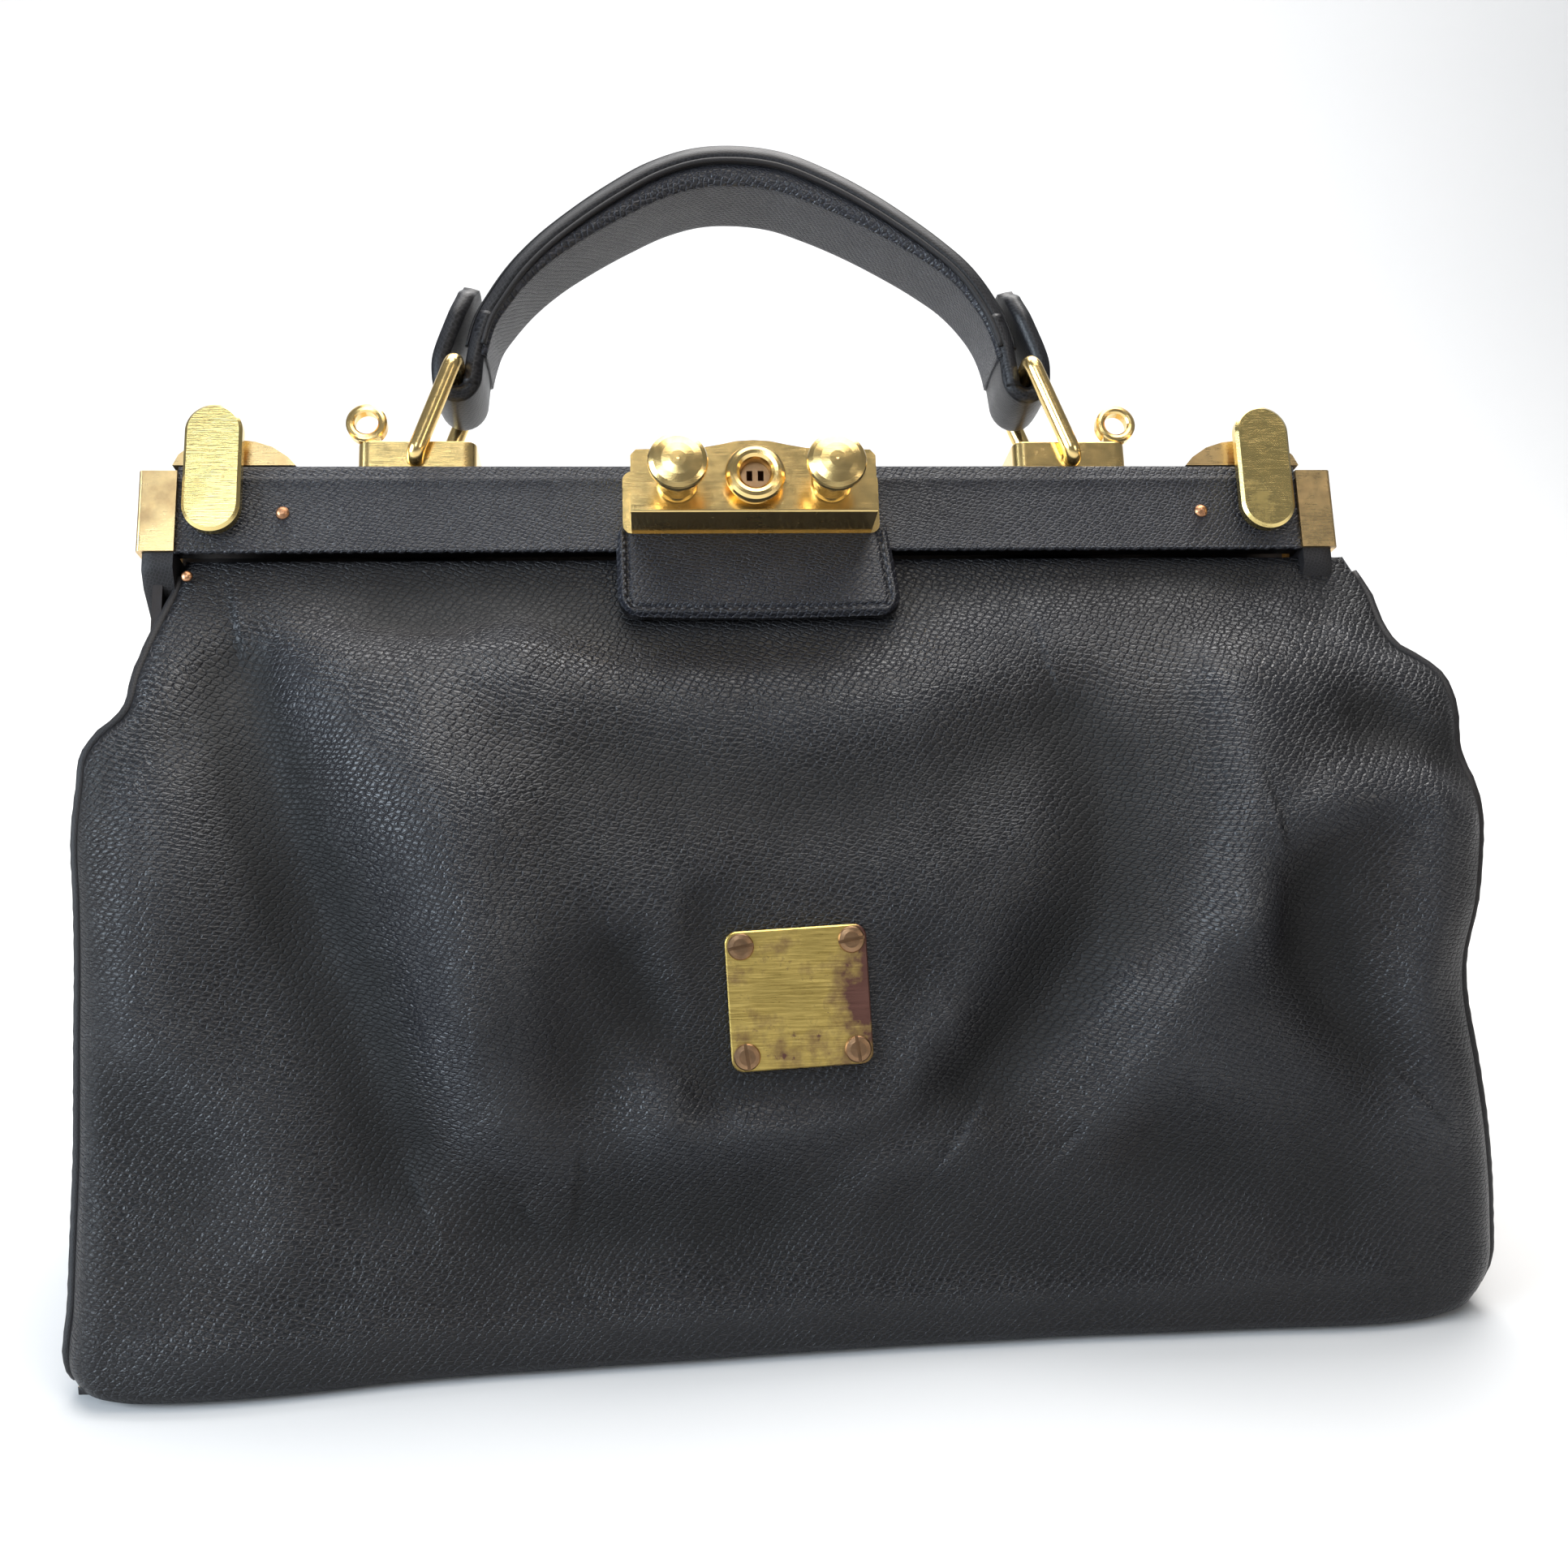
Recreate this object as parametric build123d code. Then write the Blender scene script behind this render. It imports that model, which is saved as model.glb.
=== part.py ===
from build123d import *
import os
from math import sin, cos, radians, sqrt, atan2, degrees

# Black leather doctor bag with a hinged steel frame, brass lock, two side clips
# and a carrying handle on two swivelling rings.  Millimetres, +Z up, front = -Y.
# Origin: middle of the base, on the ground.

# ---------------------------------------------------------------- dimensions
LEAN = 26.0            # the closed frame leans back by this angle
YH, ZH = -15.9, 141.2  # frame hinge line
RT = 75.0              # hinge line to top of the front band
BAND = 22.5            # height of the leather band
HB = 158.7             # half length of the leather-covered frame
STRIP = 2.4            # flat strip on top of the band
ZT = RT + STRIP        # top plane of the frame
YF = -10.0             # front face of the band
YR = 28.0              # rear face of the rear half
BASE_X, BASE_Y = 174.0, 78.0   # half length and half depth of the base
CLIP_X = 140.5
LOOP_X, LOOP_Z = 89.6, 81.0    # lower pivot of the handle rings
TOP_X, TOP_Z = 79.4, 109.0     # upper pivot of the handle rings
ROD = 2.4                      # ring rod radius
Y1, Y2 = -7.7, 25.7            # centre lines of the ring's two legs
KNOB_X, KNOB_Z = 20.0, 65.2
H_Y = -25.0                    # front face of the lock case
PLATE_C = (7.7, -60.4, 88.8)   # centre of the name plate on the front

A = radians(LEAN)
PLACE = Location((0, YH, ZH), (-LEAN, 0, 0))
os.makedirs("parts", exist_ok=True)


def local(y, z):
    """World (y, z) to frame-plane (y, z)."""
    dy, dz = y - YH, z - ZH
    return (dy * cos(A) - dz * sin(A), dy * sin(A) + dz * cos(A))


def world(y, z):
    return (YH + y * cos(A) + z * sin(A), ZH - y * sin(A) + z * cos(A))


def save(name, shape, lean=False):
    if lean:
        shape = PLACE * shape
    solids = shape.solids()
    shape = solids[0] if len(solids) == 1 else Compound(children=list(solids))
    export_step(shape, "parts/%s.step" % name)


def box(x0, x1, y0, y1, z0, z1):
    x0, x1 = min(x0, x1), max(x0, x1)
    return Pos((x0 + x1) / 2, (y0 + y1) / 2, (z0 + z1) / 2) * Box(x1 - x0, y1 - y0, z1 - z0)


def cyl_x(x0, x1, y, z, r):
    return Pos((x0 + x1) / 2, y, z) * Rot(0, 90, 0) * Cylinder(r, abs(x1 - x0))


def cyl_y(y0, y1, x, z, r):
    return Pos(x, (y0 + y1) / 2, z) * Rot(90, 0, 0) * Cylinder(r, abs(y1 - y0))


def poly_x(pts, x0, x1):
    """Polygon of (y, z) points pulled along X."""
    f = make_face(Polyline(*[(0, p[0], p[1]) for p in pts], close=True))
    s = extrude(f, amount=abs(x1 - x0), dir=(1, 0, 0))
    return Pos(min(x0, x1), 0, 0) * s


def poly_y(pts, y0, y1):
    """Polygon of (x, z) points pulled along Y."""
    f = make_face(Polyline(*[(p[0], 0, p[1]) for p in pts], close=True))
    s = extrude(f, amount=abs(y1 - y0), dir=(0, 1, 0))
    return Pos(0, min(y0, y1), 0) * s


def sheet_x(pts, t, x0, x1):
    """A sheet of thickness t that follows the (y, z) polyline on its inner side."""
    n = len(pts)
    nrm = []
    for i in range(n - 1):
        dy, dz = pts[i + 1][0] - pts[i][0], pts[i + 1][1] - pts[i][1]
        l = sqrt(dy * dy + dz * dz)
        nrm.append((-dz / l, dy / l))
    inner = []
    for i in range(n):
        if i == 0:
            m = nrm[0]
            k = 1.0
        elif i == n - 1:
            m = nrm[-1]
            k = 1.0
        else:
            m = (nrm[i - 1][0] + nrm[i][0], nrm[i - 1][1] + nrm[i][1])
            l = sqrt(m[0] ** 2 + m[1] ** 2)
            m = (m[0] / l, m[1] / l)
            k = 1.0 / (m[0] * nrm[i][0] + m[1] * nrm[i][1])
        inner.append((pts[i][0] + m[0] * t * k, pts[i][1] + m[1] * t * k))
    return poly_x(list(pts) + inner[::-1], x0, x1)


def turned(profile, x, y, z):
    """Revolve an (r, y) profile about the Y direction through (x, z)."""
    f = make_face(Polyline(*[(p[0], p[1], 0) for p in profile], close=True))
    return Pos(x, y, z) * revolve(f, Axis.Y)


# ================================================================ steel frame
# Front half: a bar, two arms and two hinge eyes.
def front_steel():
    s = box(-156, 156, -7.5, -2, 54, 74)
    for k in (-1, 1):
        s += box(k * 153.5, k * 156, -7.5, -2, 12, 60)
        s += box(k * 150.7, k * 156, -7.5, -2, 12, 15)
        s += box(k * 150.7, k * 153.2, -6.4, -0.6, 0, 15)
        s += cyl_x(k * 150.7, k * 153.2, 0, 0, 6.5)
        s -= cyl_x(k * 150, k * 153.4, 0, 0, 2.55)
    return s


def rear_steel():
    s = box(-156, 156, 18.5, 25.5, 54, 76.6) + box(-156, 156, 1.0, 25.5, 75.3, 76.6)
    for k in (-1, 1):
        s += box(k * 153.5, k * 156, 0.8, 7, 0, 76.0)
        s += cyl_x(k * 153.5, k * 156, 0, 0, 6.5)
        s -= cyl_x(k * 153, k * 157, 0, 0, 2.5)
    return s


front_frame = front_steel()
rear_frame = rear_steel()
save("front_frame", front_frame, True)
save("rear_frame", rear_frame, True)

for k, n in ((-1, "left"), (1, "right")):
    pin = cyl_x(k * 148.9, k * 157.6, 0, 0, 2.5) + cyl_x(k * 148.9, k * 150.4, 0, 0, 4.2) + cyl_x(k * 156, k * 157.6, 0, 0, 4.2)
    save("hinge_pin_%s" % n, pin, True)

# Leather-covered band of the front half with its sleeves down the arms.
cover = box(-HB, HB, YF, -0.5, RT - BAND, ZT)
cover = fillet(cover.edges().filter_by(Axis.X).group_by(Axis.Y)[0], 1.2)
for k in (-1, 1):
    cover += box(k * 153.3, k * HB, YF, -0.5, 9, RT - BAND)
cover -= front_frame
for x in (-123, 123):
    cover -= cyl_y(-11, -7.5, x, 63.5, 0.9)
save("front_band_leather", cover, True)

rcover = box(-HB, HB, 0.5, YR, 74, ZT) + box(-HB, HB, 17, YR, RT - BAND, 74.5)
rcover = fillet(rcover.edges().filter_by(Axis.X).filter_by(lambda e: e.center().Y > YR - 0.1 and e.center().Z > 70), 1.5)
for k in (-1, 1):
    rcover += box(k * 153.3, k * 159.2, 0.5, 10, 9, 74.2)
rcover -= rear_frame
save("rear_band_leather", rcover, True)

# Corner caps.
for k, n in ((-1, "left"), (1, "right")):
    cap = box(k * 150.2, k * 160.0, -11.2, -0.5, RT - BAND + 0.3, 75.0)
    cap = fillet(cap.edges().filter_by(Axis.Z).filter_by(lambda e: abs(e.center().X) > 159 and e.center().Y < -5), 1.2)
    cap -= box(k * 140, k * HB, YF, 5, 0, 90)
    save("front_cap_%s" % n, cap, True)
    cap = box(k * 150.2, k * 160.4, 10.2, 29.2, RT - BAND + 0.3, 75.5)
    cap = fillet(cap.edges().filter_by(Axis.Z).filter_by(lambda e: abs(e.center().X) > 159 and e.center().Y > 25), 1.2)
    cap -= box(k * 140, k * 159.2, 0, YR, 0, 90)
    save("rear_cap_%s" % n, cap, True)

# Two domed rivets through the front band.
riv = None
for x in (-123, 123):
    r = turned([(0, 2.5), (0.9, 2.5), (0.9, 0), (1.8, 0), (1.7, -0.45), (1.3, -0.9), (0.7, -1.2), (0, -1.3)], x, YF, 63.5)
    riv = r if riv is None else riv + r
save("band_rivets", riv, True)

# ================================================================ side clips
for k, n in ((-1, "left"), (1, "right")):
    # leaf-shaped hinge base that stands on the strip
    pts = [(120.3, ZT), (122.4, 79.8), (126.5, 82.6), (131, 84.1), (136, 84.7), (142, 84.6), (147.5, 83.2), (150.8, 80.4), (152.2, ZT)]
    base = poly_y([(k * p[0], p[1]) for p in pts], -9.0, -1.2)
    base -= box(k * (CLIP_X - 4.2), k * (CLIP_X + 4.2), -12, 2, ZT + 0.35, 90)
    base -= cyl_x(k * 133.0, k * 148.0, -5.2, 81.0, 1.2)
    save("clip_base_%s" % n, base, True)
    pin = cyl_x(k * 133.0, k * 148.0, -5.2, 81.0, 1.2)
    save("clip_pin_%s" % n, pin, True)
    # lever: a thick stadium plate, an arm and a barrel
    st = Pos(k * CLIP_X, -13.4, 74.6) * Rot(90, 0, 0) * extrude(SlotCenterToCenter(20.4, 14.8, rotation=90), amount=1.6, both=True)
    st = chamfer(st.edges().filter_by(lambda e: e.center().Y < -14.9), 0.8)
    arm = box(k * (CLIP_X - 4.0), k * (CLIP_X + 4.0), -12.0, -5.2, 79.7, 82.3)
    brl = cyl_x(k * (CLIP_X - 4.0), k * (CLIP_X + 4.0), -5.2, 81.0, 2.7)
    lever = st + arm + brl - cyl_x(k * (CLIP_X - 5), k * (CLIP_X + 5), -5.2, 81.0, 1.25)
    save("clip_lever_%s" % n, lever, True)

# ================================================================ lock
zb = RT - 17.4                       # bottom of the lock case
bp = Pos(0, -10.5, (zb - 0.5 + 74.7) / 2) * Rot(90, 0, 0) * extrude(RectangleRounded(68.6, 74.7 - zb + 0.5, 2.6), amount=0.5, both=True)
bp -= Pos(0, -10.5, 66) * Box(20, 3, 8)
save("lock_backplate", bp, True)

top = [(-32, 73.3), (-30.6, 74.9), (-14, 75.3), (-9, 76.2), (-4.5, 77.2), (0, 77.5), (4.5, 77.2), (9, 76.2), (14, 75.3), (30.6, 74.9), (32, 73.3)]
case = poly_y([(-32, zb)] + top + [(32, zb)], H_Y, -11.0)
case = fillet(case.edges().filter_by(lambda e: e.center().Y < H_Y + 0.05 and e.center().Z < zb + 0.05), 0.7)
case -= box(-31, 31, H_Y + 1.2, -11, zb + 1.2, 73.4)
for k in (-1, 1):
    slot = Pos(k * (KNOB_X + 1.6), H_Y, KNOB_Z) * Rot(90, 0, 0) * extrude(SlotCenterToCenter(3.2, 2 * 2.1), amount=3, both=True)
    case -= slot
case -= cyl_y(H_Y - 1, H_Y + 2, 0, 66.0, 5.0)
save("lock_case", case, True)

# keyhole ring: a flared collar with a rounded rim, fixed in the case
ring = turned([(3.8, 9.0), (5.0, 9.0), (5.0, 0), (6.3, 0), (5.7, -1.2), (5.5, -2.2), (6.4, -2.9), (7.2, -3.5), (7.7, -4.4),
               (7.75, -5.2), (7.4, -6.1), (6.7, -6.8), (5.8, -7.1), (4.9, -6.9), (4.2, -6.2), (3.85, -5.2), (3.8, -4.2)], 0, H_Y, 66.0)
save("keyhole_ring", ring, True)
# key plug with two slots either side of a web, turning in the ring
plug = cyl_y(H_Y - 3.4, H_Y + 9.5, 0, 66.0, 3.75)
plug += cyl_y(H_Y + 9.2, H_Y + 10.4, 0, 66.0, 4.8)
plug -= box(0.7, 2.2, H_Y - 4, H_Y + 3, 64.6, 67.4)
plug -= box(-2.2, -0.7, H_Y - 4, H_Y + 3, 64.6, 67.4)
plug += box(-1.6, 1.6, H_Y + 10.0, H_Y + 11.6, 60.5, 67.6)
save("key_plug", plug, True)

# Two mushroom knobs on sliding bolts.
for k, n in ((-1, "left"), (1, "right")):
    prof = [(0, 1.4), (1.95, 1.4), (1.95, -0.15), (5.3, -0.15), (5.3, -0.8), (4.9, -2.0), (4.75, -5), (4.75, -9.8), (5.0, -11.4), (5.6, -12.6), (7.1, -13.3),
            (7.6, -13.9), (7.6, -15.0), (7.3, -15.6), (6.2, -16.2), (4.2, -16.7), (2.0, -16.95), (0, -17.0)]
    save("knob_%s" % n, turned(prof, k * KNOB_X, H_Y, KNOB_Z), True)
    bolt = box(k * 11.5, k * 27.6, H_Y + 1.4, H_Y + 3.0, zb + 2.4, 72.4)
    bolt += box(k * 13.0, k * 17.0, H_Y + 3.0, H_Y + 9.5, 62.0, 68.0)
    bolt += box(k * 9.6, k * 17.0, H_Y + 7.9, H_Y + 9.5, 62.0, 68.0)
    bolt -= cyl_y(H_Y + 1, H_Y + 1.4 + 0.0001, k * KNOB_X, KNOB_Z, 1.95)
    save("lock_bolt_%s" % n, bolt, True)
# return springs of the bolts, one coil stack each side
for k in (-1, 1):
    s = cyl_x(k * 17.1, k * 30.9, H_Y + 6.0, 65.0, 2.0) - cyl_x(k * 17, k * 31, H_Y + 6.0, 65.0, 1.2)
    save("bolt_spring_%s" % ("left" if k < 0 else "right"), s, True)

# keeper tongue on the rear half, entering the open back of the lock case region
keeper = box(-16, 16, 0.5, 2.0, 58, 74.0)
keeper -= box(-11, -6, -1, 5, 62, 68)
keeper -= box(6, 11, -1, 5, 62, 68)
save("lock_keeper", keeper, True)

# leather tab that hangs below the lock
tab = poly_x([(-9.9, RT - BAND), (-7.4, RT - BAND), (-12.0, 33.2), (-14.5, 33.2)], -36.0, 38.0)
tab = fillet(tab.edges().filter_by(lambda e: e.center().Z < 34 and abs(e.center().X) > 35 and e.length < 4), 5.0)
save("lock_tab", tab, True)

# ================================================================ handle
for k, n in ((-1, "left"), (1, "right")):
    blk = box(k * 73.6, k * 105.2, -5.0, 23.0, ZT + 0.35, 86.2)
    blk = fillet(blk.edges().filter_by(Axis.Z), 3.4)
    blk += box(k * 78, k * 101, 0.5, 22, ZT, ZT + 0.6)
    blk = fillet(blk.edges().filter_by(lambda e: abs(e.center().Z - 86.2) < 0.01), 0.4)
    blk -= cyl_y(-10, 30, k * LOOP_X, LOOP_Z, ROD + 0.05)
    save("handle_block_%s" % n, blk, True)
    # strap eyelet brazed on the block's outer end
    eye = turned([(3.15, -4.2), (3.6, -4.65), (4.3, -4.8), (5.0, -4.65), (5.5, -4.1), (5.5, -1.4), (5.0, -0.9), (3.6, -0.9), (3.15, -1.3)],
                 k * 103.0, 0, 91.75)
    foot = box(k * 99.2, k * 104.9, -4.3, -1.1, 86.2, 88.7) - cyl_y(-6, 2, k * 103.0, 91.75, 4.4)
    eye += foot
    save("strap_eyelet_%s" % n, eye, True)

# Rings: a round rod bent to a rectangle, made flat and then leaned inward.
RH = sqrt((LOOP_X - TOP_X) ** 2 + (TOP_Z - LOOP_Z) ** 2)
RC = 2.6


def rod_ring():
    s = cyl_y(Y1 + RC, Y2 - RC, 0, 0, ROD) + cyl_y(Y1 + RC, Y2 - RC, 0, RH, ROD)
    for y in (Y1, Y2):
        s += Pos(0, y, RH / 2) * Cylinder(ROD, RH - 2 * RC)
    for y, z, sy, sz in ((Y1, 0, 1, 1), (Y2, 0, -1, 1), (Y1, RH, 1, -1), (Y2, RH, -1, -1)):
        c = (0, y + sy * RC, z + sz * RC)
        t = Pos(*c) * Rot(0, 90, 0) * Torus(RC, ROD)
        q = Pos(0, c[1] - sy * 5, c[2] - sz * 5) * Box(12, 10, 10)
        s += t & q
    return s


ring0 = rod_ring()
for k, n in ((-1, "left"), (1, "right")):
    lean = degrees(atan2(LOOP_X - TOP_X, TOP_Z - LOOP_Z))
    r = Pos(k * LOOP_X, 0, LOOP_Z) * Rot(0, -k * lean, 0) * ring0
    save("handle_ring_%s" % n, r, True)

# Padded leather handle: an arch whose two ends fold round the rings.
HY0, HY1 = -3.0, 21.0
outer = [(-76.6, 121), (-73.5, 126), (-69, 133), (-61.5, 142.5), (-50, 154.2), (-37.5, 164), (-25, 171.3), (-12.5, 175.8), (0, 177)]
inner = [(-69.6, 118), (-67, 129), (-58, 142.6), (-46, 152), (-32.5, 160.2), (-19, 165.2), (-8, 167), (0, 167.2)]
# order: outer left to right, then inner right to left
full = outer + [(-x, z) for x, z in outer[:-1][::-1]] + [(-x, z) for x, z in inner] + [(x, z) for x, z in inner[:-1][::-1]]
arch = poly_y(full, HY0, HY1)
for k in (-1, 1):
    fold = cyl_y(HY0, HY1, k * TOP_X, TOP_Z, 6.4)
    strap = poly_y([(k * 73.0, TOP_Z), (k * 79.4, TOP_Z), (k * 76.6, 121.2), (k * 69.6, 118.2)], HY0, HY1)
    tabp = poly_y([(k * 85.8, TOP_Z), (k * 81.5, TOP_Z), (k * 78.0, 121), (k * 75.6, 129.6), (k * 77.8, 130.6), (k * 80.6, 123)], HY0, HY1)
    arch += fold + strap + tabp
arch -= cyl_y(HY0 - 2, HY1 + 2, -TOP_X, TOP_Z, ROD + 0.05)
arch -= cyl_y(HY0 - 2, HY1 + 2, TOP_X, TOP_Z, ROD + 0.8)
save("handle_leather", arch, True)
# ================================================================ leather body
T = 2.5
P = [(-6.2, RT - BAND), (-12.0, 30), (-20.0, 8), (-23.4, -10), (-18.3, -24.2)]
upper = sheet_x(P, T, -HB, HB) - cover - front_frame - tab
upper = upper.solids().sort_by(SortBy.VOLUME)[-1]
save("front_panel_upper", upper, True)

FR = [(-48.5, 130), (-55.4, 112), (-67.5, 65), (-75.5, 28), (-78, 10), (-78, 4)]
front_low = sheet_x(FR, T, -BASE_X, BASE_X)

rb = world(YR - 0.2, RT - BAND)
RR = [(78, 4), (78, 10), (74.5, 45), (66, 90), (55, 130), (rb[0], rb[1])]
rear_p = sheet_x(RR, T, -HB, HB)
rear_w = sheet_x([(78, 4), (78, 10), (74.5, 45), (66, 90), (55.5, 128)], T, -BASE_X, BASE_X)
save("rear_panel", rear_p + rear_w)

for k, n in ((-1, "left"), (1, "right")):
    side_poly = [(-47.0 + 2.5 - 0.6, 129.0), (-52.4, 112), (-64.6, 65), (-72.7, 28), (-75.2, 10), (-75.2, 3), (75.2, 3), (75.2, 10),
                 (71.7, 45), (63.2, 90), (53.0, 126), (53.0, 129.0)]
    side = poly_x(side_poly, k * (BASE_X - T), k * BASE_X)
    ledge = box(k * 159.4, k * BASE_X, -44.5, 52.5, 126.5, 129.0)
    # raised cheek beside the frame arms, rear part following the rear panel
    ck = [(-44.5, 126.5), (-42, 140), (-34, 158), (-22, 172), (-6, 178), (10, 176), (24, 176), (rb[0] - 4, rb[1] - 3), (52.4, 129), (52.4, 126.5)]
    cheek = poly_x(ck, k * 159.4, k * 161.4)
    save("gusset_%s" % n, side + ledge + cheek)

base = Pos(0, 0, 1.5) * Box(2 * BASE_X, 2 * BASE_Y, 3.0)
base = fillet(base.edges().filter_by(Axis.Z), 9)
save("base_leather", base)
board = Pos(0, 0, 3.9) * Box(2 * BASE_X - 12, 2 * BASE_Y - 12, 1.8)
save("base_board", board)
# lining: a thin inner tray standing on the board
lin_o = poly_x([(-72.3, 4.8), (-69.9, 28), (-61.8, 65), (-52.8, 100), (-46.6, 118), (54.0, 118), (59.4, 100), (69.0, 45), (72.3, 10), (72.3, 4.8)], -170.8, 170.8)
lin_i = poly_x([(-71.0, 6.0), (-68.7, 28), (-60.6, 65), (-51.6, 100), (-44.8, 119), (52.4, 119), (58.2, 100), (67.8, 45), (71.1, 10), (71.1, 6.0)], -169.6, 169.6)
save("lining", lin_o - lin_i)

# name plate on the front with four slotted screws and their nuts inside
s_y, s_z = FR[2][0] - FR[1][0], FR[2][1] - FR[1][1]
tilt = degrees(atan2(-s_y, -s_z))           # slope of the front at the plate
pc_z = 88.8
pc_y = FR[1][0] + (pc_z - FR[1][1]) / (FR[2][1] - FR[1][1]) * (FR[2][0] - FR[1][0])
ON = Location((7.7, pc_y, pc_z), (-tilt, 0, 0)) * Location((0, 0, 0), (0, -2.6, 0))
np_ = Rot(90, 0, 0) * extrude(RectangleRounded(35.0, 34.4, 3.0), amount=1.4)
scr = None
nut = None
HX, HZ = 13.7, 13.5
holes = [(x, z) for x in (-HX, HX) for z in (-HZ, HZ)]
for x, z in holes:
    np_ -= cyl_y(-3, 1, x, z, 1.5)
np_ = chamfer(np_.edges().filter_by(lambda e: e.center().Y < -1.3 and e.length > 12), 0.3)
save("name_plate", ON * np_)
for i, (x, z) in enumerate(holes):
    h = turned([(0, 4.6), (1.5, 4.6), (1.5, -1.4), (3.3, -1.4), (3.3, -1.9), (3.0, -2.3), (2.0, -2.55), (0, -2.65)], x, 0, z)
    a = -8 if z > 0 else 84
    h -= Pos(x, -2.6, z) * Rot(0, a, 0) * Box(8, 1.4, 0.8)
    scr = h if scr is None else scr + h
    w = cyl_y(2.6, 4.4, x, z, 3.0) - cyl_y(2, 5, x, z, 1.5)
    nut = w if nut is None else nut + w
save("plate_screws", ON * scr)
save("plate_nuts", ON * nut)
# the leather behind the plate is drilled for the screws
drill = None
for x, z in holes:
    c = cyl_y(-2, 5, x, z, 1.5)
    drill = c if drill is None else drill + c
save("front_panel_lower", front_low - (ON * drill))
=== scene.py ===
import bpy, bmesh, math
import numpy as np
from mathutils import Vector, Matrix, Euler


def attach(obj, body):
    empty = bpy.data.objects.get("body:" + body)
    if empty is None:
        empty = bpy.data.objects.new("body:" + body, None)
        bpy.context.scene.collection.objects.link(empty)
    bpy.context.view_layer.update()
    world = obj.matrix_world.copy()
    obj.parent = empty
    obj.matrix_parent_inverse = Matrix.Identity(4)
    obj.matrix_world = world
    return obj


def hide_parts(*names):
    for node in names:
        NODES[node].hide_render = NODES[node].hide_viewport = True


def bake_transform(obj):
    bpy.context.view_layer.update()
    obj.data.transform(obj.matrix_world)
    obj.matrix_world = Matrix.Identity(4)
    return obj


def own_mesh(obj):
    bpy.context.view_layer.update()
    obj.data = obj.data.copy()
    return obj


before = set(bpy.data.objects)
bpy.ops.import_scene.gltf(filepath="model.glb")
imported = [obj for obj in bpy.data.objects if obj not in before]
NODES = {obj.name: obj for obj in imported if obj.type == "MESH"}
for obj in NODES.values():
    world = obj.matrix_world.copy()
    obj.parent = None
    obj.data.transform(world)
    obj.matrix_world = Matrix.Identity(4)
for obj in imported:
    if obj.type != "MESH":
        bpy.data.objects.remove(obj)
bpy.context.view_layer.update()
MM = 0.001

# ------------------------------------------------------------------ frame plane
LEAN = math.radians(26.0)
YH, ZH = -15.9, 141.2
RT, BAND, STRIP = 75.0, 22.5, 2.4
CL, SL = math.cos(LEAN), math.sin(LEAN)


def l2w(p):
    """Frame-plane millimetres to row millimetres, arrays of (..., 3)."""
    p = np.asarray(p, float)
    x, y, z = p[..., 0], p[..., 1], p[..., 2]
    return np.stack([x, YH + y * CL + z * SL, ZH - y * SL + z * CL], -1)


def w2l(p):
    p = np.asarray(p, float)
    x, dy, dz = p[..., 0], p[..., 1] - YH, p[..., 2] - ZH
    return np.stack([x, dy * CL - dz * SL, dy * SL + dz * CL], -1)


def lw(p):
    q = l2w(p)
    return (float(q[0]), float(q[1]), float(q[2]))


def interp(x, xs, ys):
    """Smooth monotone-ish interpolation (Catmull-Rom) through sorted xs."""
    xs = np.asarray(xs, float)
    ys = np.asarray(ys, float)
    x = np.clip(np.asarray(x, float), xs[0], xs[-1])
    m = np.gradient(ys, xs)
    i = np.clip(np.searchsorted(xs, x, side="right") - 1, 0, len(xs) - 2)
    h = xs[i + 1] - xs[i]
    t = (x - xs[i]) / h
    return ((2 * t ** 3 - 3 * t ** 2 + 1) * ys[i] + (t ** 3 - 2 * t ** 2 + t) * h * m[i]
            + (-2 * t ** 3 + 3 * t ** 2) * ys[i + 1] + (t ** 3 - t ** 2) * h * m[i + 1])


def smooth(a, b, x):
    t = np.clip((np.asarray(x, float) - a) / (b - a), 0, 1)
    return t * t * (3 - 2 * t)


def noise2(x, y, scale, seed):
    """Deterministic smooth value noise in [-1, 1]."""
    rng = np.random.RandomState(seed)
    g = rng.uniform(-1, 1, (64, 64))
    u, v = np.asarray(x, float) / scale + 100.3, np.asarray(y, float) / scale + 100.7
    i, j = np.floor(u).astype(int), np.floor(v).astype(int)
    fu, fv = u - i, v - j
    fu, fv = fu * fu * fu * (fu * (6 * fu - 15) + 10), fv * fv * fv * (fv * (6 * fv - 15) + 10)
    a, b = g[i % 64, j % 64], g[(i + 1) % 64, j % 64]
    c, d = g[i % 64, (j + 1) % 64], g[(i + 1) % 64, (j + 1) % 64]
    return (a * (1 - fu) + b * fu) * (1 - fv) + (c * (1 - fu) + d * fu) * fv


# ------------------------------------------------------------------ mesh helpers
def new_obj(name, verts, faces, mats, uv=None, face_mat=None, smooth_shade=True):
    me = bpy.data.meshes.new(name)
    v = np.asarray(verts, float) * MM
    me.from_pydata([tuple(map(float, p)) for p in v], [], [tuple(map(int, f)) for f in faces])
    me.update()
    for m in mats:
        me.materials.append(m)
    if face_mat is not None:
        me.polygons.foreach_set("material_index", np.asarray(face_mat, np.int32))
    if uv is not None:
        layer = me.uv_layers.new(name="grain")
        idx = np.empty(len(me.loops), np.int32)
        me.loops.foreach_get("vertex_index", idx)
        layer.data.foreach_set("uv", np.asarray(uv, float)[idx].astype(np.float32).ravel())
    if smooth_shade:
        me.polygons.foreach_set("use_smooth", np.ones(len(me.polygons), bool))
    me.update()
    ob = bpy.data.objects.new(name, me)
    bpy.context.scene.collection.objects.link(ob)
    return ob


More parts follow.
